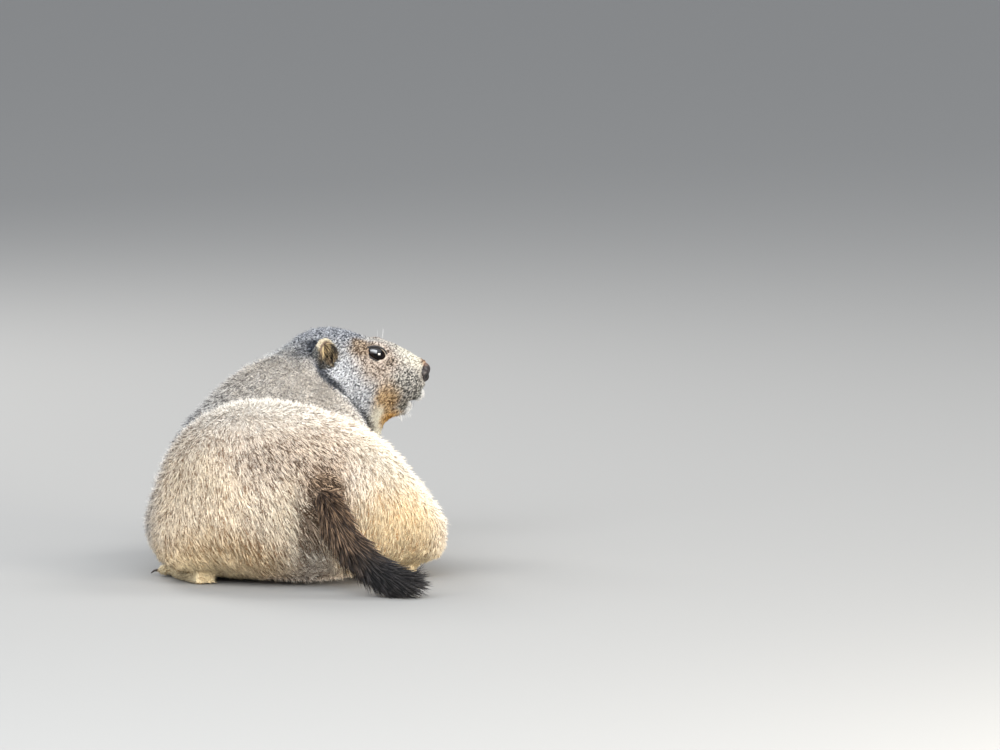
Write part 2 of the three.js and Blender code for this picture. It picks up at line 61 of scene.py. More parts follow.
class Place:
    """A part of the body, with its heading in degrees from +Y towards +X."""

    def __init__(self, origin, heading):
        turn = math.radians(heading)
        self.origin = origin
        self.right = Vector((math.cos(turn), -math.sin(turn), 0))
        self.forward = Vector((math.sin(turn), math.cos(turn), 0))

    def to(self, right, forward, up):
        """A direction, or an offset in metres."""
        return self.right * right + self.forward * forward + UP * up

    def at(self, right, forward, up):
        """A point given in millimetres."""
        return self.origin + self.to(right, forward, up) * MM

    def local(self, points):
        """An array of points in this part's own axes, in millimetres."""
        off = points - np.array(self.origin)
        return np.stack([off @ np.array(self.right), off @ np.array(self.forward), off[:, 2]], 1) / MM


def middle_of(node):
    """The middle of a solid's box."""
    low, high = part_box(node)
    return (Vector(low) + Vector(high)) / 2


def below_head(x, y, heading):
    """A part whose origin is on the floor, at x and y in millimetres from the head."""
    return Place(head.origin + Vector((x, y, -EYE_HEIGHT)) * MM, heading)


eyes = {name: middle_of(f"eye_{name}") for name in SIDES}
head = Place((eyes["right"] + eyes["left"]) / 2, 90)
hips = below_head(-62, -234, -13)
belly = below_head(-84, -158, -8)
chest = below_head(-92, -80, 3)

# The camera
#
# It stands nine metres behind the animal and looks down by six degrees through a long lens, so that
# the right eye falls on the same pixel of a 1000 by 750 frame as in the photograph.

FRAME_SIZE = Vector((1000, 750))
EYE_PIXEL = Vector((376.5, 353.4))
PIXEL = 0.87 * MM  # at the right eye's distance
CAMERA_AWAY = 9.0
CAMERA_DROP = math.radians(6)
SENSOR = 36.0
CAMERA_REACH = 100

aim = Vector((0, math.cos(CAMERA_DROP), -math.sin(CAMERA_DROP)))
rise = Vector((0, math.sin(CAMERA_DROP), math.cos(CAMERA_DROP)))
off_axis = (EYE_PIXEL - FRAME_SIZE / 2) * PIXEL
lens = bpy.data.cameras.new("long_lens")
lens.sensor_width = SENSOR
lens.lens = SENSOR * CAMERA_AWAY / PIXEL / FRAME_SIZE.x
lens.clip_end = CAMERA_REACH
camera = bpy.data.objects.new("camera", lens)
camera.location = eyes["right"] - aim * CAMERA_AWAY - Vector((off_axis.x, 0, 0)) + rise * off_axis.y
camera.rotation_euler = (math.pi / 2 - CAMERA_DROP, 0, 0)
bpy.context.scene.collection.objects.link(camera)
bpy.context.scene.camera = camera

# The room
#
# A plain pale floor runs out past every view. Soft daylight comes from the upper right and from
# beyond the animal. On the camera's side a broad lamp fills the shadows and shines in its eye, and a
# low warm one lights its haunch.


def operator(operation, reflected=False):
    """A method of Link that adds one kind of Math or Vector Math node to its tree."""
    def method(link, other):
        return link.tree.maths(operation, *((other, link) if reflected else (link, other)))
    return method


class Link:
    """The output of a node, which can be reckoned with."""

    def __init__(self, tree, socket):
        self.tree, self.socket = tree, socket

    def __getitem__(self, axis):
        return Link(self.tree, self.tree.add("ShaderNodeSeparateXYZ", [self]).outputs[axis])

    __add__, __radd__ = operator("ADD"), operator("ADD", True)
    __sub__, __rsub__ = operator("SUBTRACT"), operator("SUBTRACT", True)
    __mul__, __rmul__ = operator("MULTIPLY"), operator("MULTIPLY", True)
    __truediv__, __rtruediv__ = operator("DIVIDE"), operator("DIVIDE", True)
    __pow__ = operator("POWER")


class Tree:
    """A node tree under construction, for a material or for a mesh."""

    def __init__(self, tree):
        self.tree = tree

    def plug(self, socket, value):
        if isinstance(value, Link):
            self.tree.links.new(value.socket, socket)
        else:
            socket.default_value = value

    def add(self, kind, inputs=(), **settings):
        """A new node, its settings set first. Inputs are by place in a list, or by name."""
        node = self.tree.nodes.new(kind)
        for name, value in settings.items():
            setattr(node, name, value)
        for key, value in inputs.items() if isinstance(inputs, dict) else enumerate(inputs):
            if isinstance(key, str):
                self.plug(next(s for s in node.inputs if s.name == key and s.enabled), value)
            else:
                self.plug(node.inputs[key], value)
        return node

    def get(self, kind, inputs=(), out=None, **settings):
        """Adds a node and gives its first enabled output, or the one named out."""
        node = self.add(kind, inputs, **settings)
        return Link(self, next(s for s in node.outputs if s.enabled and out in (None, s.name)))

    def maths(self, operation, *values):
        """A Vector Math node if any value is a vector or a colour, or else a Math node."""
        linked = {value.socket.type for value in values if isinstance(value, Link)}
        vector = linked & {"VECTOR", "RGBA"} or any(isinstance(value, Vector) for value in values)
        kind = "ShaderNodeVectorMath" if vector else "ShaderNodeMath"
        return self.get(kind, list(values), operation=operation)

    def dot(self, a, b):
        return self.get("ShaderNodeVectorMath", [a, b], out="Value", operation="DOT_PRODUCT")

    def length(self, vector):
        return self.get("ShaderNodeVectorMath", [vector], out="Value", operation="LENGTH")

    def unit(self, vector):
        return self.get("ShaderNodeVectorMath", [vector], operation="NORMALIZE")

    def scaled(self, vector, factor):
        return self.get("ShaderNodeVectorMath", {"Vector": vector, "Scale": factor}, operation="SCALE")

    def joined(self, x, y, z):
        return self.get("ShaderNodeCombineXYZ", [x, y, z])

    def smooth(self, value, low, high, to=(0, 1)):
        """A smooth step of a value from low to high."""
        limits = {"Value": value, "From Min": low, "From Max": high, "To Min": to[0], "To Max": to[1]}
        return self.get("ShaderNodeMapRange", limits, interpolation_type="SMOOTHSTEP")

    def mixed(self, factor, a, b):
        """A mix of two colours."""
        node = self.tree.nodes.new("ShaderNodeMix")
        node.data_type = "RGBA"
        for socket, value in zip((node.inputs[0], node.inputs[6], node.inputs[7]), (factor, a, b)):
            self.plug(socket, value)
        return Link(self, node.outputs[2])

    def spot(self):
        """The shaded point, in the object's own coordinates."""
        return self.get("ShaderNodeTexCoord", out="Object")

    def noise(self, place, scale, detail=2.0, out="Fac"):
        return self.get("ShaderNodeTexNoise", {"Vector": place, "Scale": scale, "Detail": detail}, out=out)

    def carried(self, name, out="Fac"):
        """A material's reading of what the mesh carries at its points."""
        return self.get("ShaderNodeAttribute", out=out, attribute_name=name)


def colour(red, green, blue):
    """A colour from its screen values of 0 to 255."""
    shares = (red / 255, green / 255, blue / 255)
    return (*(((v + 0.055) / 1.055) ** 2.4 if v > 0.04 else v / 12.92 for v in shares), 1)


def material(name, tint=None, **sockets):
    """A new material, with its tree and its shader."""
    made = bpy.data.materials.new(name)
    made.use_nodes = True
    tree = Tree(made.node_tree)
    shader = made.node_tree.nodes["Principled BSDF"]
    if tint:
        shader.inputs["Base Color"].default_value = colour(*tint)
    for socket, value in sockets.items():
        shader.inputs[socket.replace("_", " ")].default_value = value
    return made, tree, shader


def new_object(name, mesh, finish=None):
    if finish:
        mesh.materials.clear()
        mesh.materials.append(finish)
    made = bpy.data.objects.new(name, mesh)
    bpy.context.scene.collection.objects.link(made)
    return made


FLOOR_REACH = 60
floor_mesh = bpy.data.meshes.new("floor")
corners = [(x * FLOOR_REACH, y * FLOOR_REACH, 0) for x, y in ((-1, -1), (1, -1), (1, 1), (-1, 1))]
floor_mesh.from_pydata(corners, [], [(0, 1, 2, 3)])
new_object("floor", floor_mesh, material("floor_paint", (158, 157, 155), Roughness=0.9)[0])

LAMPS = {  # place, width, height, watts, tint
    "day_lamp": ((2.1, 0.7, 2.5), 1.3, 1.3, 36, (1.0, 0.985, 0.955)),
    "eye_lamp": ((-0.7, -2.5, 1.9), 4.0, 2.2, 136, (0.93, 0.965, 1.0)),
    "warm_lamp": ((1.5, -1.5, 0.3), 1.0, 0.8, 52, (1.0, 0.93, 0.82)),
    "edge_lamp": ((-1.2, 1.9, 1.6), 1.1, 1.1, 36, (1.0, 0.99, 0.97)),
}
LAMPS_AIM = Vector((0, 0, 0.08))
SKY, SKY_STRENGTH = (0.9, 0.94, 1.0, 1), 0.64

for name, (place, width, height, watts, tint) in LAMPS.items():
    lamp = bpy.data.lights.new(name, "AREA")
    lamp.shape, lamp.size, lamp.size_y = "RECTANGLE", width, height
    lamp.energy, lamp.color = watts, tint
    holder = bpy.data.objects.new(name, lamp)
    holder.location = place
    holder.rotation_euler = (LAMPS_AIM - Vector(place)).to_track_quat("-Z", "Y").to_euler()
    bpy.context.scene.collection.objects.link(holder)

room = bpy.data.worlds.new("room")
room.use_nodes = True
background = room.node_tree.nodes["Background"]
background.inputs["Color"].default_value = SKY
background.inputs["Strength"].default_value = SKY_STRENGTH
bpy.context.scene.world = room
bpy.context.scene.view_settings.view_transform = "Standard"

# The lie of the coat
#
# Hair grows away from the nose, over the crown and down the back, and down each limb. A guide is a
# line along the coat, and each of its points has the hair's length there, in millimetres.


def lengths_of(rows):
    return np.linalg.norm(rows, axis=1)


class Guide:
    """A smooth line through stops. Each is a place, right, forward and up of it, and a length of hair.
    With side at -1 it is the left one of a pair."""

    STEPS = 6  # between two stops

    def __init__(self, *stops, side=1):
        points = np.array([place.at(side * right, forward, up) for place, right, forward, up, _ in stops])
        lengths = [stop[-1] for stop in stops]
        share = np.linspace(0, len(points) - 1, (len(points) - 1) * self.STEPS + 1)
        stop = np.minimum(share.astype(int), len(points) - 2)
        t = (share - stop)[:, None]
        before, a, b, after = (points[np.clip(stop + k, 0, len(points) - 1)] for k in (-1, 0, 1, 2))
        self.points = 0.5 * (2 * a + (b - before) * t + (2 * before - 5 * a + 4 * b - after) * t ** 2
                             + (3 * a - before - 3 * b + after) * t ** 3)
        self.ways = np.gradient(self.points, axis=0)
        self.ways /= lengths_of(self.ways)[:, None]
        self.lengths = np.interp(share, np.arange(len(lengths)), lengths)

    def away(self, points):
        """Each point's distance from the line and the nearest of the line's own points."""
        squares = ((points[:, None, :] - self.points[None]) ** 2).sum(2)
        nearest = squares.argmin(1)
        return np.sqrt(squares[np.arange(len(points)), nearest]), nearest


guides = [
    # over the muzzle, crown, nape and back to the root of the tail
    Guide((head, 0, 46, -12, 2), (head, 0, 34, -4, 2.4), (head, 0, 14, 4, 3.5), (head, 0, -12, 13, 5),
          (head, 0, -42, 15, 8), (head, -6, -74, 8, 11), (chest, 6, 0, 152, 12), (belly, -8, 0, 128, 12),
          (hips, -30, 10, 156, 13), (hips, -24, -50, 132, 13), (hips, -6, -80, 96, 14)),
    # under the chin, down the throat and chest, and along the belly
    Guide((head, 0, 30, -50, 4), (head, 0, 14, -58, 5.5), (head, 0, 3, -68, 7.5),
          (chest, 38, 78, 104, 12), (chest, 4, 98, 84, 14), (chest, 0, 96, 50, 14),
          (chest, 0, 60, 20, 12), (belly, 0, 0, 8, 11), (hips, 0, -40, 9, 11)),
]
for side in SIDES.values():
    guides += [
        # above the eye to the ear, over the cheek, and along the jaw
        Guide((head, 10, 42, -20, 2.2), (head, 18, 22, -12, 3), (head, 25, 4, 12, 3.5),
              (head, 28, -18, 8, 5), (head, 34, -40, 12, 6), side=side),
        Guide((head, 12, 37, -30, 2.6), (head, 22, 14, -22, 3.6), (head, 31, -10, -22, 5.5),
              (head, 38, -32, -24, 8), (head, 40, -60, -26, 10), side=side),
        Guide((head, 10, 36, -40, 2.8), (head, 18, 12, -46, 5), (head, 27, -12, -50, 8),
              (head, 32, -36, -60, 11), (head, 30, -58, -76, 13), side=side),
        # down over the front of the lip
        Guide((head, 3, 42, -27, 2.6), (head, 5, 41, -34, 4.4), (head, 8, 37, -40, 4.4), side=side),
        # from the neck over the shoulder, flank and haunch
        Guide((head, 40, -74, -20, 11), (chest, 74, 30, 122, 12), (chest, 88, -14, 92, 13),
              (belly, 98, 0, 76, 13), (hips, 104, 46, 88, 13), (hips, 112, 0, 66, 13),
              (hips, 110, -30, 36, 12), (hips, 100, -44, 16, 9), side=side),
        # over the side of the rump
        Guide((belly, 60, 0, 118, 12), (hips, 62, 30, 138, 13), (hips, 78, -20, 118, 13),
              (hips, 72, -60, 76, 14), (hips, 52, -72, 30, 13), side=side),
        # down the fore leg and over the paw
        Guide((chest, 76, 30, 84, 13), (chest, 72, 42, 46, 10), (chest, 58, 66, 30, 7),
              (chest, 49, 84, 19, 4.5), (chest, 48, 104, 12, 3), (chest, 49, 122, 7, 2.4), side=side),
        # down the shank and over the hind foot
        Guide((hips, 104, 78, 44, 11), (hips, 118, 40, 36, 10), (hips, 114, 0, 24, 8),
              (hips, 96, -14, 14, 5), (hips, 90, 20, 12, 3.5), (hips, 93, 48, 10, 3),
              (hips, 96, 66, 7, 2.4), side=side),
    ]

TAIL_HAIR = 27
tail_guide = Guide(
    (hips, 1, -74, 82, TAIL_HAIR * 0.65), (hips, 2.9, -91.7, 77, TAIL_HAIR * 0.8),
    (hips, 11.3, -102.2, 56, TAIL_HAIR), (hips, 26.1, -117.9, 33, TAIL_HAIR),
    (hips, 45.1, -133.6, 17.5, TAIL_HAIR * 0.95), (hips, 60, -143.3, 14.2, TAIL_HAIR * 0.9))
guides.append(tail_guide)

GUIDE_REACH = 8 * MM
GUIDE_POWER = 2.5  # of the squared distance, by which a guide's weight falls
BLOCK = 4000  # points at a time, to spare memory
guide_points, guide_ways, guide_lengths = (
    np.concatenate([getattr(guide, part) for guide in guides]) for part in ("points", "ways", "lengths"))


def coat_at(points, normals):
    """The lie of the hair along a surface, and its length in metres."""
    lie, length = np.empty_like(points), np.empty(len(points))
    for start in range(0, len(points), BLOCK):
        some = slice(start, start + BLOCK)
        away = ((points[some, None, :] - guide_points[None]) ** 2).sum(2)
        weight = 1 / (away + GUIDE_REACH ** 2) ** GUIDE_POWER
        weight /= weight.sum(1)[:, None]
        lie[some], length[some] = weight @ guide_ways, weight @ guide_lengths
    return flat_on(lie, normals), length * MM


def flat_on(ways, normals):
    """Directions laid flat on a surface."""
    ways = ways - normals * (ways * normals).sum(1)[:, None]
    return ways / np.maximum(lengths_of(ways), 1e-6)[:, None]


# The skin
#
# One closed hide lies under the whole coat, from the muzzle to the end of the tail's bones. It is
# drawn in from the solids by the hair's depth. It folds behind the cheek, opens round the eyes, swells
# over the mouth and is hollow under the nose.


def read_all(items, name, width, kind):
    """One property of all the vertices, edges, loops or faces of a mesh, as rows."""
    flat = np.empty(len(items) * width, kind)
    items.foreach_get(name, flat)
    return flat.reshape(-1, width)


def coordinates(mesh):
    return read_all(mesh.vertices, "co", 3, np.float32).astype(float)


def normals_of(mesh):
    return read_all(mesh.vertex_normals, "vector", 3, np.float32).astype(float)


def corners_of(mesh, sides):
    """The vertices of each face of a mesh whose faces all have so many sides."""
    return read_all(mesh.loops, "vertex_index", 1, np.int32).reshape(-1, sides)


def surface_of(mesh):
    """A mesh's faces, for rays and nearest points."""
    return BVHTree.FromPolygons([v.co for v in mesh.vertices], [tuple(p.vertices) for p in mesh.polygons])


def mesh_of(shape, name):
    """A new mesh of a bmesh, which is freed."""
    mesh = bpy.data.meshes.new(name)
    shape.to_mesh(mesh)
    shape.free()
    return mesh


def place_vertices(mesh, points):
    mesh.vertices.foreach_set("co", points.astype(np.float32).ravel())
    mesh.update()


def merged_copy(names, grow=0.0):
    """One mesh of several solids' nodes, each merged and grown a little."""
    points, faces, total = [], [], 0
    for name in names:
        mesh = nodes[name].data.copy()
        loose = bmesh.new()
        loose.from_mesh(mesh)
        bmesh.ops.remove_doubles(loose, verts=loose.verts, dist=1e-6)
        bmesh.ops.triangulate(loose, faces=loose.faces)
        loose.to_mesh(mesh)
        loose.free()
        points.append(coordinates(mesh) + normals_of(mesh) * grow)
        faces.append(corners_of(mesh, 3) + total)
        total += len(mesh.vertices)
        bpy.data.meshes.remove(mesh)
    made = bpy.data.meshes.new("merged")
    made.from_pydata(np.concatenate(points).tolist(), [], np.concatenate(faces).tolist())
    return made


def tube(name, points, radii, sides, closed=False):
    """A solid tube along points, with a radius at each, or a ring of it."""
    points = [Vector(point) for point in points]
    count = len(points)
    rings = []
    for i in range(count):
        before = points[i - 1] if closed or i else points[0]
        after = points[(i + 1) % count] if closed else points[min(i + 1, count - 1)]
        way = (after - before).normalized()
        across = way.cross(UP if abs(way.z) < 0.95 else Vector((0, 1, 0))).normalized()
        over = across.cross(way)
        turns = [2 * math.pi * k / sides for k in range(sides)]
        rings += [points[i] + (across * math.cos(a) + over * math.sin(a)) * radii[i] for a in turns]

    def corner(i, k):
        return (i % count) * sides + k % sides

    faces = []
    for i in range(count if closed else count - 1):
        for k in range(sides):
            faces.append((corner(i, k), corner(i + 1, k), corner(i + 1, k + 1), corner(i, k + 1)))
    if not closed:
        faces += [tuple(range(sides)), tuple(reversed(range((count - 1) * sides, count * sides)))]
    mesh = bpy.data.meshes.new(name)
    mesh.from_pydata(rings, [], faces)
    outward = bmesh.new()
    outward.from_mesh(mesh)
    bmesh.ops.recalc_face_normals(outward, faces=outward.faces)
    outward.to_mesh(mesh)
    outward.free()
    return mesh


def finished(made):
    """The object with its modifiers turned into plain mesh."""
    name, old = made.name, made.data
    mesh = bpy.data.meshes.new_from_object(made.evaluated_get(bpy.context.evaluated_depsgraph_get()))
    bpy.data.objects.remove(made)
    if not old.users:
        bpy.data.meshes.remove(old)
    return new_object(name, mesh)


def remeshed(name, meshes, size):
    """One closed surface round all the meshes, of even faces."""
    joined = bmesh.new()
    for mesh in meshes:
        joined.from_mesh(mesh)
        bpy.data.meshes.remove(mesh)
    made = new_object(name, mesh_of(joined, name))
    modifier = made.modifiers.new("even", "REMESH")
    modifier.mode, modifier.voxel_size = "VOXEL", size
    return finished(made)


def relaxed(points, mesh, share, rounds):
    """Each point drawn towards the middle of its neighbours by its share, for some rounds."""
    pairs = read_all(mesh.edges, "vertices", 2, np.int32)
    here, there = np.concatenate([pairs, pairs[:, ::-1]]).T
    count = np.bincount(here, minlength=len(points))[:, None]
    share = np.broadcast_to(np.asarray(share, float), len(points))[:, None]
    for _ in range(rounds):
        sums = [np.bincount(here, points[there, axis], len(points)) for axis in range(3)]
        points = points + (np.stack(sums, 1) / count - points) * share
    return points


def eased(value, low, high):
    """A smooth step of an array from low to high."""
    share = np.clip((value - low) / (high - low), 0, 1)
    return share * share * (3 - 2 * share)


SKIN_CELL = 1.55 * MM
HIDE_FACES = 185000
NODE_GROWTH = 0.35 * MM  # closes the gaps that part the solids
TAIL_CORE = np.array([9, 7.5, 6.5, 6, 5, 3]) * MM
TAIL_SIDES = 12
FACE_MIDDLE = [0, 0, -20]
FACE_REACH, FOOT_HEIGHT, TAIL_REACH = (80, 60), (34, 16), (22, 12)  # where they end, and where they are full
DRAWN, DRAWN_ON_FOOT = 0.5, 0.3  # towards the neighbours' middle, and less on a foot
STEPS_SMOOTHED, TRUNK_SMOOTHED = 8, 110  # rounds, against the remesh's steps and the solids' facets
flesh = [name for name in nodes if not name.startswith(("claw_", "ear_", "tail"))]
core_stops = np.linspace(0, len(TAIL_CORE) - 1, len(tail_guide.points))
core_radii = np.interp(core_stops, np.arange(len(TAIL_CORE)), TAIL_CORE)
tail_core = tube("core", tail_guide.points, core_radii, TAIL_SIDES)
skin = remeshed("skin", [merged_copy(flesh, NODE_GROWTH), tail_core], SKIN_CELL)

points = coordinates(skin.data)
faceness = eased(lengths_of(head.local(points) - FACE_MIDDLE), *FACE_REACH)
footness = eased(points[:, 2] / MM, *FOOT_HEIGHT)
tailness = eased(tail_guide.away(points)[0] / MM, *TAIL_REACH)
fine = np.maximum(np.maximum(faceness, footness), tailness)
points = relaxed(points, skin.data, DRAWN - DRAWN_ON_FOOT * footness, STEPS_SMOOTHED)
points = relaxed(points, skin.data, DRAWN * (1 - fine), TRUNK_SMOOTHED)
place_vertices(skin.data, points)

COAT_DEPTH = 0.36  # of the hair's length
length = coat_at(points, normals_of(skin.data))[1]
points -= normals_of(skin.data) * (COAT_DEPTH * length * (1 - tailness))[:, None]
place_vertices(skin.data, points)

# the fold behind the cheek, which the camera sees as a line across the skin
FOLD = [(-52, 9), (-51, -8), (-43, -21), (-35, -30), (-27, -37.5), (-20.5, -44.5), (-15, -51.5),
        (-9, -60), (-4, -68)]  # forward and up from the right eye, as seen
FOLD_WIDE, FOLD_DEEP = 5.0, 3.2
RAY_START = 0.5  # metres nearer to the camera
to_skin = surface_of(skin.data)
seen = [eyes["right"] + head.to(0, forward, up) * MM for forward, up in FOLD]
fold_points = [to_skin.ray_cast(point - aim * RAY_START, aim)[0] for point in seen]
fold = Guide(*[(Place(point, 0), 0, 0, 0, 0) for point in fold_points])
to_fold = fold.away(points)[0] / MM
points -= normals_of(skin.data) * (FOLD_DEEP * MM * np.exp(-(to_fold / FOLD_WIDE) ** 2))[:, None]

# the eyelids, which hug the ball of the eye round an almond opening that drops towards the nose
BALL = 10.8  # the eyeball's radius
BALL_DEEPER = 3.0  # than the solids' smaller ball
BALL_SHIFT = (0, -0.5, -0.8)
LIDS_OUT = (0.95, 0.27, 0.13)  # the way the right eye looks
LID_SLANT = math.radians(23)
LID_HALF = (8.9, 5.5)
LID_POINT = 0.3  # how far the opening narrows towards its front corner
LID_POINT_POWER = 3
LID_THICK = 0.9
LIDS_REACH = 19  # from the ball's middle
LIDS_FADE = (1.95, 1.4)  # in sizes of the opening, as the next three
LIDS_BALD = (1.24, 1.12)
LIDS_LIP = (0.95, 1.15)
HAIR_PARTED = (2.2, 1.2)
HAIR_PARTING = 0.16
BALL_CLEAR = 1.5  # how far the hide stays behind the ball inside the opening


class Lids:
    """The axes of one eye: out of the head, along the opening to the nose, and over it."""

    def __init__(self, side):
        self.out = head.to(side * LIDS_OUT[0], *LIDS_OUT[1:]).normalized()
        along = head.forward * math.cos(LID_SLANT) - UP * math.sin(LID_SLANT)
        self.along = (along - self.out * along.dot(self.out)).normalized()
        self.over = self.out.cross(self.along) * side
        middle = eyes["right" if side > 0 else "left"] + head.to(*BALL_SHIFT) * MM
        self.centre = middle - self.out * BALL_DEEPER * MM

    def rim(self, turn, grow, lift):
        """A point of the lids' edge, or of a wider ring round it, lifted off the ball."""
        x, y = LID_HALF[0] * grow * math.cos(turn), LID_HALF[1] * grow * math.sin(turn)
        y *= 1 - LID_POINT * max(math.cos(turn), 0) ** LID_POINT_POWER
        rest = math.sqrt(max(BALL ** 2 - x * x - y * y, 0))
        return self.centre + (self.along * x + self.over * y + self.out * (rest + lift)) * MM


lids = {name: Lids(side) for name, side in SIDES.items()}
bald = np.zeros(len(points))
around_eye = np.zeros((len(points), 3))
for eye in lids.values():
    off = (points - np.array(eye.centre)) / MM
    away = lengths_of(off)
    x, y, z = (off @ np.array(axis) for axis in (eye.along, eye.over, eye.out))
    x, y = x / LID_HALF[0], y / LID_HALF[1]
    ahead = np.maximum(x, 0) / np.maximum(np.hypot(x, y), 1e-6)
    narrowed = y / (1 - LID_POINT * ahead ** LID_POINT_POWER)
    ring = np.where((z > 0) & (away < LIDS_REACH), np.hypot(x, narrowed), np.inf)
    lid = np.maximum(away, BALL + LID_THICK * eased(ring, *LIDS_LIP))
    wanted = np.where(ring < 1, BALL - BALL_CLEAR, lid)
    points += off / away[:, None] * ((wanted - away) * eased(ring, *LIDS_FADE))[:, None] * MM
    bald = np.maximum(bald, eased(ring, *LIDS_BALD))
    around_eye += off * eased(ring, *HAIR_PARTED)[:, None] * HAIR_PARTING

# the upper lip, which hangs over the lower one
LIP_SWELL = ((0, 35, -37.5), (12, 8, 4.8))
LIP_FADE = (1.15, 0.2)
OVERHANG, OVERHANG_WAY = 3.6, (0, 0.9, -0.4)
near_lip = lengths_of((head.local(points) - LIP_SWELL[0]) / LIP_SWELL[1])
points += np.array(head.to(*OVERHANG_WAY)) * (OVERHANG * MM * eased(near_lip, *LIP_FADE))[:, None]

# the line of the mouth, pressed in from one corner round the front to the other
LIPS = [(14.3, 13.5, -46.2), (13.4, 17, -45.5), (11.5, 20.5, -44.8), (8, 25.5, -44), (3.8, 28.2, -43.5)]
mouth = Guide(*[(head, x, y, z, 0) for x, y, z in LIPS],
              *[(head, -x, y, z, 0) for x, y, z in reversed(LIPS)])
LIP_WIDE, LIP_WIDE_AHEAD, LIP_DEEP, LIP_DEEP_AHEAD = 1.6, 2.3, 1.4, 4.6
LIP_BARE, LIP_BARE_AHEAD = (1.3, 0.7), 0.7
LIP_AHEAD = (18, 26)  # from the eyes, where the mouth's front begins and where it is full
place_vertices(skin.data, points)
to_lips = mouth.away(points)[0] / MM
in_front = eased(head.local(points)[:, 1], *LIP_AHEAD)
deep = LIP_DEEP + (LIP_DEEP_AHEAD - LIP_DEEP) * in_front
wide = LIP_WIDE + (LIP_WIDE_AHEAD - LIP_WIDE) * in_front
points -= normals_of(skin.data) * (deep * MM * np.exp(-(to_lips / wide) ** 2))[:, None]
bare_to = LIP_BARE_AHEAD * in_front
bald = np.maximum(bald, eased(to_lips, LIP_BARE[0] + bare_to, LIP_BARE[1] + bare_to))

# the bare hollow under the nose's pad, and the places where the ears are let in
NOSE_BED = ((0, 44.2, -18.8), (11.5, 8, 8.8))
NOSE_HOLLOW, HOLLOW_EDGE, HOLLOW_BARE = 2.6, (1.1, 0.8), (1.05, 0.95)
in_bed = lengths_of((head.local(points) - NOSE_BED[0]) / NOSE_BED[1])
points -= np.array(head.forward) * (NOSE_HOLLOW * MM * eased(in_bed, *HOLLOW_EDGE))[:, None]
bald = np.maximum(bald, eased(in_bed, *HOLLOW_BARE))
EAR_HALF = (10.5, 14, 8)  # across, tall and deep
EAR_OUT = (0.82, 0.56, 0.1)  # the way the right ear opens
EAR_TILT = math.radians(20)
EAR_BARE = (0.9, 0.78)  # in sizes of the ear, where the hair ends under it
EAR_FOOT, EAR_HIND = (3, -12), (-2, -8)  # where it starts to be lost and where it is lost
HIND_SLOPE = (0.8, 0.45)  # how far ahead and tall count towards the hind edge


class Ear:
    """The axes of one ear: across, tall and outward."""

    def __init__(self, side):
        self.centre = middle_of("ear_right" if side > 0 else "ear_left")
        self.out = head.to(side * EAR_OUT[0], *EAR_OUT[1:]).normalized()
        self.across = head.to(0, -math.sin(EAR_TILT), math.cos(EAR_TILT)).cross(self.out).normalized()
        self.tall = self.out.cross(self.across)

    def local(self, points):
        off = (points - np.array(self.centre)) / MM
        return np.stack([off @ np.array(axis) for axis in (self.across, self.tall, self.out)], 1)

    def lost(self, points):
        """How far the ear's foot and hind edge are sunk in the fur, from 0 to 1."""
        tall = self.local(points)[:, 1]
        ahead = (points - np.array(self.centre)) @ np.array(head.forward) / MM
        hind = ahead * HIND_SLOPE[0] + tall * HIND_SLOPE[1]
        return np.maximum(eased(tall, *EAR_FOOT), eased(hind, *EAR_HIND))


ears = {name: Ear(side) for name, side in SIDES.items()}
for ear in ears.values():
    under_ear = eased(lengths_of(ear.local(points) / EAR_HALF), *EAR_BARE)
    bald = np.maximum(bald, under_ear * (1 - ear.lost(points)))

SKIN_LOWEST = 0.4 * MM
points[:, 2] = np.maximum(points[:, 2], SKIN_LOWEST)
place_vertices(skin.data, points)

# The markings
#
# The coat mixes pale hairs with dark ones. Each patch has a place and a middle, radii, the softness
# of its edge, its pale and its dark hairs, and the share of dark ones. Hide and hair both carry them,
# and a later patch lies over an earlier one. Last, a band of darker hair along the fold behind the
# cheek is the painted shade of that crease.


def both(*patches):
    """Patches of the right side, and after them their mirror images on the left."""
    return [(part, (side * right, forward, up), *look)
            for side in SIDES.values() for part, (right, forward, up), *look in patches]


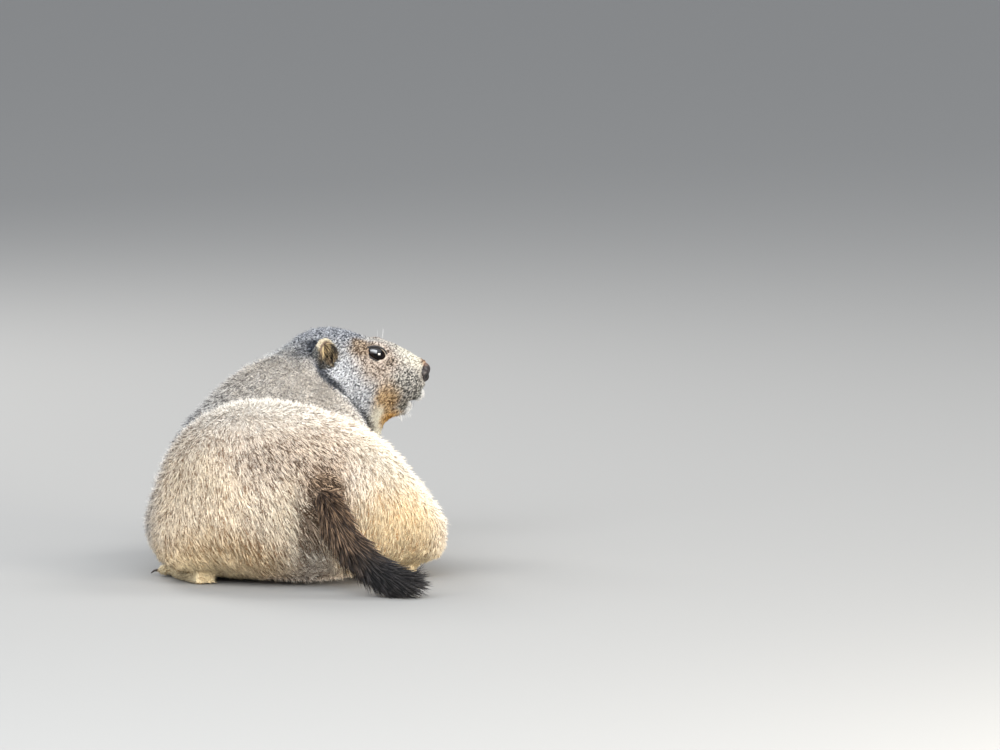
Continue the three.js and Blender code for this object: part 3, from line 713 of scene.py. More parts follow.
GROUND = (colour(238, 231, 222), colour(150, 143, 138), 0.42)
PATCHES = [
    # underneath
    (chest, (0, 60, 30), (90, 60, 60), 0.5, (236, 214, 180), (164, 128, 92), 0.45),
    (belly, (0, 0, 0), (110, 150, 40), 0.5, (234, 208, 168), (156, 120, 84), 0.45),
    # the slate shoulder and neck
    (chest, (-84, 0, 90), (36, 100, 90), 0.75, (232, 231, 230), (104, 106, 112), 0.48),
    (head, (-6, -66, -4), (44, 42, 42), 0.5, (236, 235, 233), (116, 118, 122), 0.42),
    # the rump, from its pale crest down
    (hips, (0, -40, 60), (140, 120, 110), 0.25, (250, 240, 227), (196, 172, 151), 0.42),
    (hips, (-14, 6, 166), (118, 110, 30), 0.6, (250, 245, 237), (216, 204, 192), 0.34),
    (hips, (-96, -34, 62), (48, 62, 62), 0.5, (255, 240, 216), (170, 130, 94), 0.34),
    (hips, (-20, -70, 112), (52, 40, 20), 0.6, (242, 228, 212), (124, 98, 78), 0.44),
    (hips, (-14, -84, 66), (42, 40, 30), 0.6, (255, 242, 220), (152, 118, 90), 0.36),
    (hips, (-9, -94, 54), (16, 20, 20), 0.7, (190, 158, 130), (92, 69, 52), 0.58),
    (hips, (4, -80, 84), (20, 26, 26), 0.7, (198, 170, 142), (78, 61, 48), 0.56),
    # the haunches, pale above and gold below
    (hips, (86, 4, 88), (58, 84, 56), 0.5, (248, 241, 228), (226, 208, 184), 0.36),
    (hips, (74, -60, 40), (56, 50, 44), 0.5, (255, 238, 204), (255, 204, 146), 0.3),
    (hips, (-80, -50, 22), (56, 60, 30), 0.5, (250, 228, 192), (200, 158, 114), 0.45),
    # both hind feet and both fore feet
    *both((hips, (90, 20, 0), (40, 90, 34), 0.5, (255, 238, 200), (226, 190, 140), 0.34)),
    *both((chest, (50, 96, 12), (30, 60, 26), 0.4, (232, 208, 172), (156, 122, 88), 0.45)),
    # the head's slate crown, the brown between the eyes, and the cream throat
    (head, (0, -30, 18), (32, 50, 22), 0.5, (212, 214, 219), (88, 93, 103), 0.56),
    (head, (0, 12, 6), (18, 22, 10), 0.5, (230, 223, 212), (128, 122, 116), 0.42),
    (head, (6, -18, -84), (40, 24, 40), 0.6, (252, 244, 230), (198, 182, 160), 0.36),
    *both(
        # white cheek, tan ring round the eye, brown behind it, grey side of the muzzle, ochre jaw
        (head, (36, -24, -30), (26, 34, 34), 0.45, (242, 243, 246), (108, 112, 120), 0.42),
        (head, (24, 2, -8), (16, 19, 20), 0.55, (230, 216, 202), (132, 112, 97), 0.48),
        (head, (22, -12, 6), (12, 10, 9), 0.5, (206, 186, 162), (106, 84, 66), 0.6),
        (head, (16, 26, -28), (12, 18, 15), 0.5, (222, 217, 208), (80, 80, 78), 0.52),
        (head, (20, 9.5, -40), (16, 12, 15), 0.5, (238, 208, 164), (134, 98, 58), 0.48),
        # dark ahead of the eye and on the lower lip, a cream stripe down the throat, dark behind the ear
        (head, (24, 13, -7), (10, 6, 4), 0.7, (182, 166, 150), (92, 82, 74), 0.56),
        (head, (9, 27, -47), (9, 7, 4.5), 0.5, (196, 192, 180), (64, 64, 58), 0.62),
        (head, (14, 2.5, -61), (26, 6.5, 17), 0.45, (255, 251, 236), (240, 226, 200), 0.18),
        (head, (32, -58, -8), (13, 12, 24), 0.5, (172, 173, 176), (44, 46, 50), 0.6)),
    # gold chin, cream top of the muzzle, dark lips, reddish edge above the nose, white fringes
    (head, (0, 13, -57), (22, 9, 9), 0.5, (250, 206, 132), (178, 124, 60), 0.4),
    (head, (0, 34, -6), (16, 24, 11), 0.5, (244, 239, 224), (190, 180, 160), 0.35),
    (head, (0, 38, -36), (15, 13, 9), 0.5, (200, 200, 193), (66, 68, 66), 0.56),
    (head, (0, 43, -10), (9, 4.5, 4), 0.6, (192, 160, 132), (118, 90, 70), 0.5),
    (head, (0, 30, -49), (5, 4.5, 5), 0.6, (252, 252, 250), (160, 160, 156), 0.3),
    (head, (0, 40, -39), (4.5, 5, 5), 0.6, (252, 252, 250), (160, 160, 156), 0.3),
]
# darker hair along the fold behind the cheek: painted shade of the crease
FOLD_SHADE_HAIR = (colour(130, 134, 142), colour(50, 54, 62), 0.66)
FOLD_RADII = (8.5 * MM, 3.6 * MM)  # where the dark fades out, and where it is full
RAGGED_SCALE, RAGGED_DETAIL = 90.0, 3.0  # of the noise that shifts the patches' edges
RAGGED = (7 * MM, 20 * MM)  # how far it shifts them, on the face and on the body
RAGGED_FROM = (50 * MM, 110 * MM)  # from the eyes, where the face's way ends and the body's begins
FOLD_RAGGED = 4 * MM
HALF = Vector((0.5, 0.5, 0.5))  # the mean of a noise's colour


def markings_tree():
    """From a place on the hide to its pale hairs' colour, its dark hairs' colour and their share."""
    group = bpy.data.node_groups.new("marmot_markings", "ShaderNodeTree")
    group.interface.new_socket("Place", in_out="INPUT", socket_type="NodeSocketVector")
    for name, kind in (("Pale", "Color"), ("Dark", "Color"), ("Share", "Float")):
        group.interface.new_socket(name, in_out="OUTPUT", socket_type=f"NodeSocket{kind}")
    t = Tree(group)
    given = Link(t, t.add("NodeGroupInput").outputs["Place"])
    ragged = t.noise(given, RAGGED_SCALE, RAGGED_DETAIL, "Color") - HALF
    off_face = t.smooth(t.length(given - head.origin), *RAGGED_FROM, RAGGED)
    place = given + t.scaled(ragged, off_face)
    own = {}
    for part in (hips, belly, chest, head):
        off = t.scaled(place - part.origin, 1 / MM)
        own[part] = t.joined(t.dot(off, part.right), t.dot(off, part.forward), off[2])
    pale, dark, share = GROUND
    for part, middle, radii, softness, pale_hair, dark_hair, dark_share in PATCHES:
        away = t.length((own[part] - Vector(middle)) / Vector(radii))
        mask = t.smooth(away, 1 + softness, 1 - softness)
        pale, dark = t.mixed(mask, pale, colour(*pale_hair)), t.mixed(mask, dark, colour(*dark_hair))
        share = mask * (dark_share - share) + share
    # the band along the fold behind the cheek, darkened as painted shade of the crease
    away = None
    for start, end in zip(fold_points[:-1:2], fold_points[2::2]):
        run = end - start
        off = given + t.scaled(ragged, FOLD_RAGGED) - start
        along = t.get("ShaderNodeClamp", [t.dot(off, run) / run.length_squared, 0.0, 1.0])
        here = t.length(off - t.scaled(t.joined(run.x, run.y, run.z), along))
        away = t.maths("MINIMUM", away, here) if away else here
    mask = t.smooth(away, *FOLD_RADII)
    pale, dark = t.mixed(mask, pale, FOLD_SHADE_HAIR[0]), t.mixed(mask, dark, FOLD_SHADE_HAIR[1])
    t.add("NodeGroupOutput", [pale, dark, mask * (FOLD_SHADE_HAIR[2] - share) + share])
    return group


markings = markings_tree()


def marked(t, place):
    """The markings at a place: pale, dark and share."""
    group = t.tree.nodes.new("ShaderNodeGroup")
    group.node_tree = markings
    t.plug(group.inputs["Place"], place)
    return [Link(t, group.outputs[name]) for name in ("Pale", "Dark", "Share")]


# the last of these darkens the hide's colour: painted shade under the coat
WOOL_SCALE, WOOL_DEEP, WOOL_PAINTED_SHADE = 900.0, 0.4 * MM, 0.84


def hide_finish():
    """The hide and the wool on it, which show between the hairs, darkened all over as painted shade under
    them.
    """
    finish, t, shader = material("under_coat", Roughness=0.9)
    place = t.spot()
    pale, dark, share = marked(t, place)
    grain = t.noise(place, WOOL_SCALE)
    wool = t.mixed(t.smooth(grain - share, -0.3, 0.3), dark, pale)
    t.plug(shader.inputs["Base Color"], t.scaled(wool, WOOL_PAINTED_SHADE))
    bump = t.get("ShaderNodeBump", {"Strength": 0.5, "Distance": WOOL_DEEP, "Height": grain})
    t.plug(shader.inputs["Normal"], bump)
    return finish


skin.data.materials.clear()
skin.data.materials.append(hide_finish())
skin.data.shade_smooth()

# The coat
#
# Fur is tufts of a few hairs that stick together, thick in the middle and pointed, rooted in the hide
# and overlapping like slates. They are sown over it in stretches, and kept off the bare places.

TUFT_SIDES = 3
TUFT_POINT = 0.7  # the power by which a tuft thins to its ends
TOUSLE_SCALE = 130.0
MAP_PATCH = 0.003  # of a tuft on the coat's flat map
HAIR_LOWEST = 0.3 * MM
SOWN_BY = {"lie": "FLOAT_VECTOR", "hair": "FLOAT", "bald": "FLOAT", "wrap": "FLOAT_VECTOR", "stretch": "INT"}
TUFT_INPUTS = (
    ("Geometry", "Geometry", None), ("Stretch", "Int", 0), ("Seed", "Int", 0), ("Cover", "Float", 4.0),
    ("Slimness", "Float", 12.0), ("Least Width", "Float", 0.4 * MM), ("Lean", "Float", 0.36),
    ("Stray", "Float", 0.2), ("Bends", "Int", 2), ("Bow", "Float", 0.08), ("Map Low", "Vector", (0, 0, 0)),
    ("Map Reach", "Vector", (1, 1, 0)), ("Finish", "Material", None))


def tuft_tree():
    """The nodes that sow tufts over one stretch of the hide."""
    group = bpy.data.node_groups.new("tufts", "GeometryNodeTree")
    for name, kind, value in TUFT_INPUTS:
        socket = group.interface.new_socket(name, in_out="INPUT", socket_type=f"NodeSocket{kind}")
        if value is not None:
            socket.default_value = value
    group.interface.new_socket("Geometry", in_out="OUTPUT", socket_type="NodeSocketGeometry")
    t = Tree(group)
    source = t.add("NodeGroupInput")

    def given(name):
        return Link(t, source.outputs[name])

    def read(name, kind=None):
        return t.get("GeometryNodeInputNamedAttribute", {"Name": name}, data_type=kind or SOWN_BY[name])

    def chance(low, high, seed, kind="FLOAT"):
        limits = {"Min": low, "Max": high, "Seed": given("Seed") + seed}
        return t.get("FunctionNodeRandomValue", limits, data_type=kind)

    def store(geometry, name, kind, value, domain="POINT"):
        inputs = {"Geometry": geometry, "Name": name, "Value": value}
        return t.get("GeometryNodeStoreNamedAttribute", inputs, data_type=kind, domain=domain)

    # one tuft, of unit length along Z, bowed away from the hide on the side of X
    curve = t.get("GeometryNodeCurvePrimitiveLine", {"Start": (0, 0, 0), "End": (0, 0, 1)})
    curve = t.get("GeometryNodeResampleCurve", {"Curve": curve, "Count": given("Bends") + 1})
    share = t.get("GeometryNodeSplineParameter", out="Factor")
    curve = store(curve, "along", "FLOAT", share)
    hump = 4 * share * (1 - share)
    bow = t.joined(hump * given("Bow"), 0.0, hump * -0.1)
    curve = t.get("GeometryNodeSetPosition", {"Geometry": curve, "Offset": bow})
    ring = t.get("GeometryNodeCurvePrimitiveCircle", {"Resolution": TUFT_SIDES, "Radius": 0.5}, out="Curve")
    ring = store(ring, "around", "FLOAT", t.get("GeometryNodeInputIndex") / (TUFT_SIDES - 1.0))
    thickness = hump ** TUFT_POINT
    tuft = t.get("GeometryNodeCurveToMesh", {"Curve": curve, "Profile Curve": ring, "Scale": thickness})
    tuft = t.get("GeometryNodeMergeByDistance", {"Geometry": tuft, "Distance": 1e-3})

    # where tufts stand, and what they carry from there
    hair = read("hair")
    width = t.maths("MAXIMUM", hair / given("Slimness"), given("Least Width"))
    density = given("Cover") / (hair * width) * (1 - read("bald"))
    stretch = t.get("FunctionNodeCompare", {"A": read("stretch"), "B": given("Stretch")},
                    data_type="INT", operation="EQUAL")
    sown = t.add("GeometryNodeDistributePointsOnFaces", {
        "Mesh": given("Geometry"), "Selection": stretch, "Density": density, "Seed": given("Seed")})
    stand, normal = Link(t, sown.outputs["Points"]), Link(t, sown.outputs["Normal"])
    place = t.get("GeometryNodeInputPosition")
    stand = store(stand, "root", "FLOAT_VECTOR", place)
    stand = store(stand, "chance", "FLOAT", chance(0.0, 1.0, 1))
    wrap = read("wrap")
    turn = t.maths("ARCTAN2", wrap[1], wrap[2]) / (2 * math.pi)
    on_map = (t.joined(wrap[0], turn, 0.0) - given("Map Low")) / given("Map Reach")
    stand = store(stand, "sheet", "FLOAT_VECTOR", on_map)

    # each lies along the coat, strayed a little with its neighbours and a little by itself
    tousle = t.noise(place, TOUSLE_SCALE, 1.0, "Color") - HALF
    scatter = chance((-1, -1, -1), (1, 1, 1), 2, "FLOAT_VECTOR")
    way = read("lie") + t.scaled(tousle, given("Stray") * 4.0) + t.scaled(scatter, given("Stray"))
    way = t.unit(t.unit(way) + t.scaled(normal, given("Lean") * chance(0.55, 1.4, 3)))
    turned = t.get("FunctionNodeAxesToRotation", {"Primary Axis": way, "Secondary Axis": normal},
                   primary_axis="Z", secondary_axis="X")
    broad = width * chance(0.75, 1.3, 4)
    size = t.joined(broad, broad, hair * chance(0.7, 1.12, 5))
    coat = t.get("GeometryNodeInstanceOnPoints", {
        "Points": stand, "Instance": tuft, "Rotation": turned, "Scale": size})
    coat = t.get("GeometryNodeRealizeInstances", {"Geometry": coat})

    # no hair goes through the floor, and each tuft has its patch on the flat map
    place = t.get("GeometryNodeInputPosition")
    lifted = t.joined(place[0], place[1], t.maths("MAXIMUM", place[2], HAIR_LOWEST))
    coat = t.get("GeometryNodeSetPosition", {"Geometry": coat, "Position": lifted})
    slant = 0.15 * t.maths("PINGPONG", read("around", "FLOAT"), 0.5)
    patch = t.joined(read("along", "FLOAT") + slant, read("around", "FLOAT"), 0.0)
    flat = read("sheet", "FLOAT_VECTOR") + t.scaled(patch, MAP_PATCH)
    coat = store(coat, "OFBake", "FLOAT2", flat, "CORNER")
    for spare in (*SOWN_BY, "sheet", "around"):
        coat = t.get("GeometryNodeRemoveAttribute", {"Geometry": coat, "Name": spare})
    coat = t.get("GeometryNodeSetMaterial", {"Geometry": coat, "Material": given("Finish")})
    t.add("NodeGroupOutput", [coat])
    return group


def carry(mesh, **values):
    """Gives a ground what tufts are sown by: its faces their stretch, and its points the rest."""
    for name, value in values.items():
        kind = SOWN_BY[name]
        attribute = mesh.attributes.get(name)
        attribute = attribute or mesh.attributes.new(name, kind, "FACE" if kind == "INT" else "POINT")
        shape = (len(attribute.data), 3) if kind == "FLOAT_VECTOR" else len(attribute.data)
        flat = np.broadcast_to(value, shape).astype(np.int32 if kind == "INT" else np.float32).ravel()
        attribute.data.foreach_set("vector" if kind == "FLOAT_VECTOR" else "value", flat)


def clear(mesh):
    """Takes away what tufts were sown by."""
    for name in SOWN_BY:
        mesh.attributes.remove(mesh.attributes[name])


def wrapped(line, points):
    """How far along a line each point is, and on which side of it."""
    steps = lengths_of(np.diff(line.points, axis=0))
    nearest = line.away(points)[1]
    way = line.ways[nearest]
    off = points - line.points[nearest]
    sideways = np.cross(way, np.array(UP))
    sideways /= np.maximum(lengths_of(sideways), 1e-6)[:, None]
    along = np.concatenate([[0], np.cumsum(steps)])[nearest] + (off * way).sum(1)
    return np.stack([along, (off * sideways).sum(1), (off * np.cross(sideways, way)).sum(1)], 1)


TONE_SCALE = 38.0
FLECK_SCALE, BAND_SCALE = 420.0, 760.0
FACE_SWEEP = head.to(0, -0.76, -0.65)  # the way the face's flecks are drawn out
BANDED_FROM, BANDED = (130 * MM, 75 * MM), (0.3, 1.0)  # from the head, and how far hair is banded there
DARKER = 0.62  # a dark hair than the mean of a dark place


def hair_finish(name, tint, shade=(0.8, 1.0), **sockets):
    """Hair whose colours come from tint, a function of its root's place and its chance, and are darkened
    towards each tuft's root as painted shade among the hairs.
    """
    finish, t, shader = material(name, **sockets)
    place, chance, along = t.carried("root", "Vector"), t.carried("chance"), t.carried("along")
    tone = t.smooth(t.noise(place, TONE_SCALE), 0.25, 0.75, (0.93, 1.05))
    # painted shade: each tuft goes from shade[0] at its root to full colour at 0.6 of its length, times a
    # random tone
    lit = t.smooth(along, 0.0, 0.6, shade) * tone
    t.plug(shader.inputs["Base Color"], t.scaled(tint(t, place, chance), lit))
    return finish


def marked_hair(t, place, chance):
    """Tufts side by side are often alike, which flecks the coat. Hair is banded, on the face the most."""
    pale, dark, share = marked(t, place)
    fleck = t.smooth(t.noise(place, FLECK_SCALE, 1.0), 0.32, 0.68)
    here = t.spot()
    swept = here - t.scaled(t.joined(*FACE_SWEEP), t.dot(here, FACE_SWEEP) * 0.5)
    band = t.smooth(t.noise(swept, BAND_SCALE, 1.0), 0.34, 0.66)
    banded = t.smooth(t.length(place - head.origin), *BANDED_FROM, BANDED)
    plain = chance * 0.45 + fleck * 0.55
    pick = plain + (band * 0.8 + chance * 0.2 - plain) * banded
    return t.mixed(t.smooth(pick - share, -0.08, 0.08), t.scaled(dark, DARKER), pale)


def grow(name, ground, stretch, finish, slot, whole, **sizes):
    """Hair on one stretch of its ground. whole is how far the stretch goes along the flat map's line."""
    made = new_object(name, ground.data.copy())
    modifier = made.modifiers.new("tufts", "NODES")
    modifier.node_group = tufts
    low, high = whole
    values = {"Stretch": stretch, "Finish": finish, "Map_Low": (low, -0.5, 0),
              "Map_Reach": (high - low, 1, 1), **sizes}
    for socket in tufts.interface.items_tree:
        key = socket.name.replace(" ", "_")
        if socket.in_out == "INPUT" and key in values:
            modifier[socket.identifier] = values[key]
    made = finished(made)
    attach(made, "root")
    return made


tufts = tuft_tree()
fur = hair_finish("marmot_fur", marked_hair, Roughness=0.8, Specular_IOR_Level=0.25)
normals = normals_of(skin.data)
lie, length = coat_at(points, normals)
lie = flat_on(lie + around_eye, normals)
NEAR_EYE, SHORTER_THERE = (0.25, 1.3), 0.5  # by how much the hair is parted, and the length it loses
length *= 1 - SHORTER_THERE * eased(lengths_of(around_eye), *NEAR_EYE)

spine = Guide((head, 0, 46, -20, 0), (head, 0, 0, -22, 0), (head, 0, -50, -26, 0), (chest, 0, 34, 100, 0),
              (chest, 2, -20, 80, 0), (belly, -6, 0, 66, 0), (hips, 0, 10, 76, 0), (hips, 0, -120, 60, 0))
wrap = wrapped(spine, points)
along_spine = wrap[:, 0].copy()

# each limb is the points nearer to its own solids than to the trunk's
LIMBS_BELOW = 75 * MM
limbs = {}
for name, side in SIDES.items():
    fore_line = Guide((chest, 82, 5, 48, 0), (chest, 66, 40, 34, 0), (chest, 50, 74, 20, 0),
                      (chest, 48, 92, 12, 0), (chest, 50, 122, 6, 0), side=side)
    hind_line = Guide((hips, 84, -30, 12, 0), (hips, 92, 20, 10, 0), (hips, 97, 66, 6, 0), side=side)
    limbs[f"fore_{name}"] = ([f"forearm_{name}", f"fore_foot_{name}"], fore_line)
    limbs[f"hind_{name}"] = ([f"hind_foot_{name}"], hind_line)


def distance_to(names, points):
    """How far each point is from the surfaces of some nodes."""
    mesh = merged_copy(names)
    surface = surface_of(mesh)
    bpy.data.meshes.remove(mesh)
    return np.array([surface.find_nearest(point)[3] for point in points.tolist()])


limb_nodes = [node for members, _ in limbs.values() for node in members]
trunk_nodes = [name for name in flesh if name not in limb_nodes and not name.startswith("eye")]
low = np.flatnonzero(points[:, 2] < LIMBS_BELOW)
gaps = {"trunk": distance_to(trunk_nodes, points[low]),
        **{name: distance_to(members, points[low]) for name, (members, _) in limbs.items()}}
nearest = np.array(list(gaps.values())).argmin(0)

TRUNK_STRETCHES = 7
TRUNK = {"Cover": 4.4, "Slimness": 19.0, "Least_Width": 0.45 * MM, "Stray": 0.23}
stretch = np.zeros(len(points), int)
for number, (name, (_, line)) in enumerate(limbs.items(), 1):
    mine = low[nearest == number]
    stretch[mine] = TRUNK_STRETCHES + number
    wrap[mine] = wrapped(line, points[mine])
TAIL_STRETCH = TRUNK_STRETCHES + len(limbs) + 1
TAIL_ROUND, TAIL_FIRST = 11 * MM, 5  # its hair's reach from its line, and the line's point where it begins
off_tail, tail_point = tail_guide.away(points)
on_tail = (off_tail < TAIL_ROUND) & (tail_point >= TAIL_FIRST)
stretch[on_tail] = TAIL_STRETCH
wrap[on_tail] = wrapped(tail_guide, points[on_tail])

# the trunk's stretches are cut across the spine, each with as many tufts as the next
corner = corners_of(skin.data, 4)
area = read_all(skin.data.polygons, "area", 1, np.float32)[:, 0]
face_hair = length[corner].mean(1)
face_width = np.maximum(face_hair / TRUNK["Slimness"], TRUNK["Least_Width"])
face_stretch = stretch[corner].max(1)
face_along = along_spine[corner].mean(1)
sown = area * (1 - bald[corner].mean(1)) * (face_stretch == 0) / (face_hair * face_width)
order = face_along.argsort()
running = np.cumsum(sown[order])
shares = running[-1] * np.arange(1, TRUNK_STRETCHES) / TRUNK_STRETCHES
cuts = face_along[order][np.searchsorted(running, shares)]
face_stretch[face_stretch == 0] = np.searchsorted(cuts, face_along[face_stretch == 0])
ends = [along_spine.min(), *cuts, along_spine.max()]

carry(skin.data, lie=lie, hair=length, bald=bald, wrap=wrap, stretch=face_stretch)

FIRST_SEED = 10
GREY_UNTIL = 0.3  # metres along the spine from the nose
for number in range(TRUNK_STRETCHES):
    slot = "grey_coat" if ends[number + 1] < GREY_UNTIL else "buff_coat"
    reach = ends[number:number + 2]
    grow(f"coat_{number + 1}", skin, number, fur, slot, reach, Seed=FIRST_SEED + number, **TRUNK)
for number, (name, (_, line)) in enumerate(limbs.items(), TRUNK_STRETCHES + 1):
    reach = wrap[stretch == number][:, 0]
    grow(f"coat_{name}", skin, number, fur, "foot_coat", (reach.min(), reach.max()),
         Seed=FIRST_SEED + number, Cover=3.4, Slimness=14.0, Least_Width=0.46 * MM, Lean=0.3)

# The tail
#
# It is bushy: long coarse hair on a thin core of bone, brown at the root and black at its end. It
# comes down over the rump to the right and lies on the floor, where the hair is pressed flat.

TAIL_END = (60, -143, 14)
TAIL_BLACK = (84 * MM, 36 * MM)  # from the tail's end, where the black begins and where it is full


def tail_hair(t, place, chance):
    """Brown hairs, black towards the end, most of them dark."""
    black = t.smooth(t.length(place - hips.at(*TAIL_END)), *TAIL_BLACK)
    pale = t.mixed(black, colour(158, 130, 104), colour(58, 55, 57))
    dark = t.mixed(black, colour(52, 38, 30), colour(18, 18, 21))
    return t.mixed(t.smooth(chance, 0.45, 0.95), dark, pale)


# the tail's hair is painted darker towards its roots, from 0.5, as painted shade
tail_finish = hair_finish("tail_fur", tail_hair, (0.5, 1.0), Roughness=0.6)
tail = grow("coat_tail", skin, TAIL_STRETCH, tail_finish, "tail_coat", (0, 0.2), Seed=40, Cover=20.0,
            Slimness=36.0, Lean=0.42, Stray=0.13, Bends=4, Least_Width=0.5 * MM)
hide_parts("tail")

# The whiskers
#
# Stiff single hairs: dark ones on each side of the muzzle, a few pale ones above each eye and under
# the chin, and short white fringes on both lips. They grow from small patches of the same hide.

WHISKERS = {  # patch in the head, its radii, length, way, count, thickness, dark
    "muzzle": ((14, 32, -29), (7, 8, 7), 40, (0.8, -0.45, -0.12), 13, 0.3, True),
    "brow": ((20, 6, 12), (5, 6, 3.5), 12, (0.35, -0.15, 1.0), 3, 0.17, False),
    "chin": ((5, 24, -54), (6, 8, 4), 9, (0.1, 0.45, -1.0), 12, 0.24, False),
    "upper_lip": ((3, 38, -38.5), (6, 6, 5.5), 4.0, (0.2, 0.75, -0.6), 120, 0.3, False),
    "lower_lip": ((3, 28.5, -49), (6, 5, 4.5), 4.0, (0.15, 0.9, -0.4), 90, 0.3, False),
}
WHISKER_SEED = 50
SHORT_WHISKER = 8  # up to here it bends less


def patch_of(ground, name, keep):
    """The faces of a ground that are to be kept, as an object of their own."""
    part = bmesh.new()
    part.from_mesh(ground.data)
    bmesh.ops.delete(part, geom=[face for face, kept in zip(part.faces, keep) if not kept], context="FACES")
    return new_object(name, mesh_of(part, name))


def whisker_tint(t, place, chance):
    return t.mixed(chance, colour(206, 205, 202), colour(250, 250, 249))


in_head = head.local(points)[corner].mean(1)
mirrored = np.abs(in_head * [1, 0, 0]) + in_head * [0, 1, 1]
whisker_dark = material("whisker_dark", (52, 46, 42), Roughness=0.4)[0]
whisker_pale = hair_finish("whisker_pale", whisker_tint, Roughness=0.5)
for seed, (name, (middle, radii, hair, way, count, thick, dark)) in enumerate(WHISKERS.items()):
    middle = mirrored[lengths_of(mirrored - middle).argmin()]
    ground = patch_of(skin, f"{name}_patch", lengths_of((mirrored - middle) / radii) < 1)
    spots = coordinates(ground.data)
    sides = np.sign(head.local(spots)[:, 0])
    ways = np.array([head.to(side * way[0], way[1], way[2]) for side in sides])
    total_area = sum(polygon.area for polygon in ground.data.polygons)
    carry(ground.data, lie=ways, hair=hair * MM, bald=0, stretch=0)
    cover = 2 * count / total_area * hair * thick * MM ** 2
    grow(f"whiskers_{name}", ground, 0, whisker_dark if dark else whisker_pale, "claw_horn", (0, 1),
         Seed=WHISKER_SEED + seed, Cover=cover, Slimness=hair / thick, Least_Width=0.1 * MM, Stray=0.16,
         Lean=0.5, Bends=8 if hair > SHORT_WHISKER else 3, Bow=0.06)
    bpy.data.objects.remove(ground)

# the hair is grown, so the hide can have fewer faces, most of them on the face and feet
clear(skin.data)
PLAIN_STEPS = 4
plain = skin.vertex_groups.new(name="plain")
for step in range(PLAIN_STEPS + 1):
    members = np.flatnonzero(np.round((1 - fine) * PLAIN_STEPS) == step)
    plain.add(members.tolist(), step / PLAIN_STEPS, "REPLACE")
thinning = skin.modifiers.new("thinning", "DECIMATE")
thinning.ratio, thinning.vertex_group = HIDE_FACES / (2 * len(skin.data.polygons)), "plain"
skin = finished(skin)
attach(skin, "root")
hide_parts(*[name for name in flesh if not name.startswith(("eye_", "nose"))])

# The ears
#
# Small round cups of thin hide, set low on the side of the head. A thin cream arch edges each above,
# tan fur hangs in streaks over its hollow, whose darkness is painted shade, and its foot is lost in
# dark flecked fur. Each is grown from its solid, smoothed.

EAR_CELL = 0.7 * MM
EAR_SHRINK = 0.93  # from the solid, which reaches out to the hair's tips
EAR_SUNK = 6.5  # how far the foot of the cup is let into the fur
EAR_STREAK, EAR_NAP = 8.0, 3.4  # lengths of hair in the hollow and round it
EAR_SPREAD = (9, 14)  # how far across and tall the hair round it has turned outward
EAR_BEHIND = 4  # how far inside its middle the line lies that its flat map is wrapped round
EAR_MAP = (-0.016, 0.016)  # from the ear's foot to its top, in metres
EAR_HOLLOW = (0.85, 0.7)  # in sizes of the ear, where its hollow begins and where it is full
EAR_SEED = 60
EAR_SMOOTHED = 4  # rounds


def ear_hair(ear):
    """A thin cream arch above, dark flecked fur round the rest, and tan streaks down the hollow, painted
    near-black between them and in its opening as its shade.
    """
    def tint(t, place, chance):
        off = t.scaled(place - ear.centre, 1 / MM)
        here = t.scaled(t.spot() - ear.centre, 1 / MM)
        across, tall, ahead = t.dot(off, ear.across), t.dot(off, ear.tall), t.dot(off, head.forward)
        rim = t.length(t.joined(across / EAR_HALF[0], tall / EAR_HALF[1], 0.0))
        speck = t.noise(here, 0.75, 1.0) * 0.75 + chance * 0.25
        streak = t.noise(t.joined(across, tall * 0.12, 0.0), 0.46, 1.0) * 0.75 + chance * 0.25
        cream = t.mixed(t.smooth(speck, 0.34, 0.5), colour(190, 170, 132), colour(250, 241, 218))
        skirt = t.mixed(t.smooth(speck, 0.52, 0.62), colour(46, 47, 50), colour(186, 184, 176))
        # near-black between the streaks and in the opening below: painted shade of the hollow
        streaks_over_shade = t.mixed(t.smooth(streak, 0.53, 0.6), colour(36, 32, 28), colour(186, 164, 128))
        tan = t.mixed(t.smooth(streak, 0.42, 0.52), colour(108, 91, 68), colour(214, 192, 150))
        opening_shade = t.smooth(rim, 0.6, 0.7) * t.smooth(rim, 0.88, 0.8) * t.smooth(ahead, 0.0, 3.0)
        lining = t.mixed(t.smooth(tall, 1.0, 7.0), streaks_over_shade, tan)
        inside = t.mixed(opening_shade * t.smooth(tall, 0.0, 4.0), lining, colour(40, 35, 30))
        outside = t.mixed(t.smooth(tall + ahead * 0.45, 3.0, 6.0), skirt, cream)
        behind = t.smooth(ahead * HIND_SLOPE[0] + tall * HIND_SLOPE[1], -2.0, -6.0)
        return t.mixed(t.smooth(rim, 0.84, 0.76) * (1 - behind), outside, inside)
    return tint


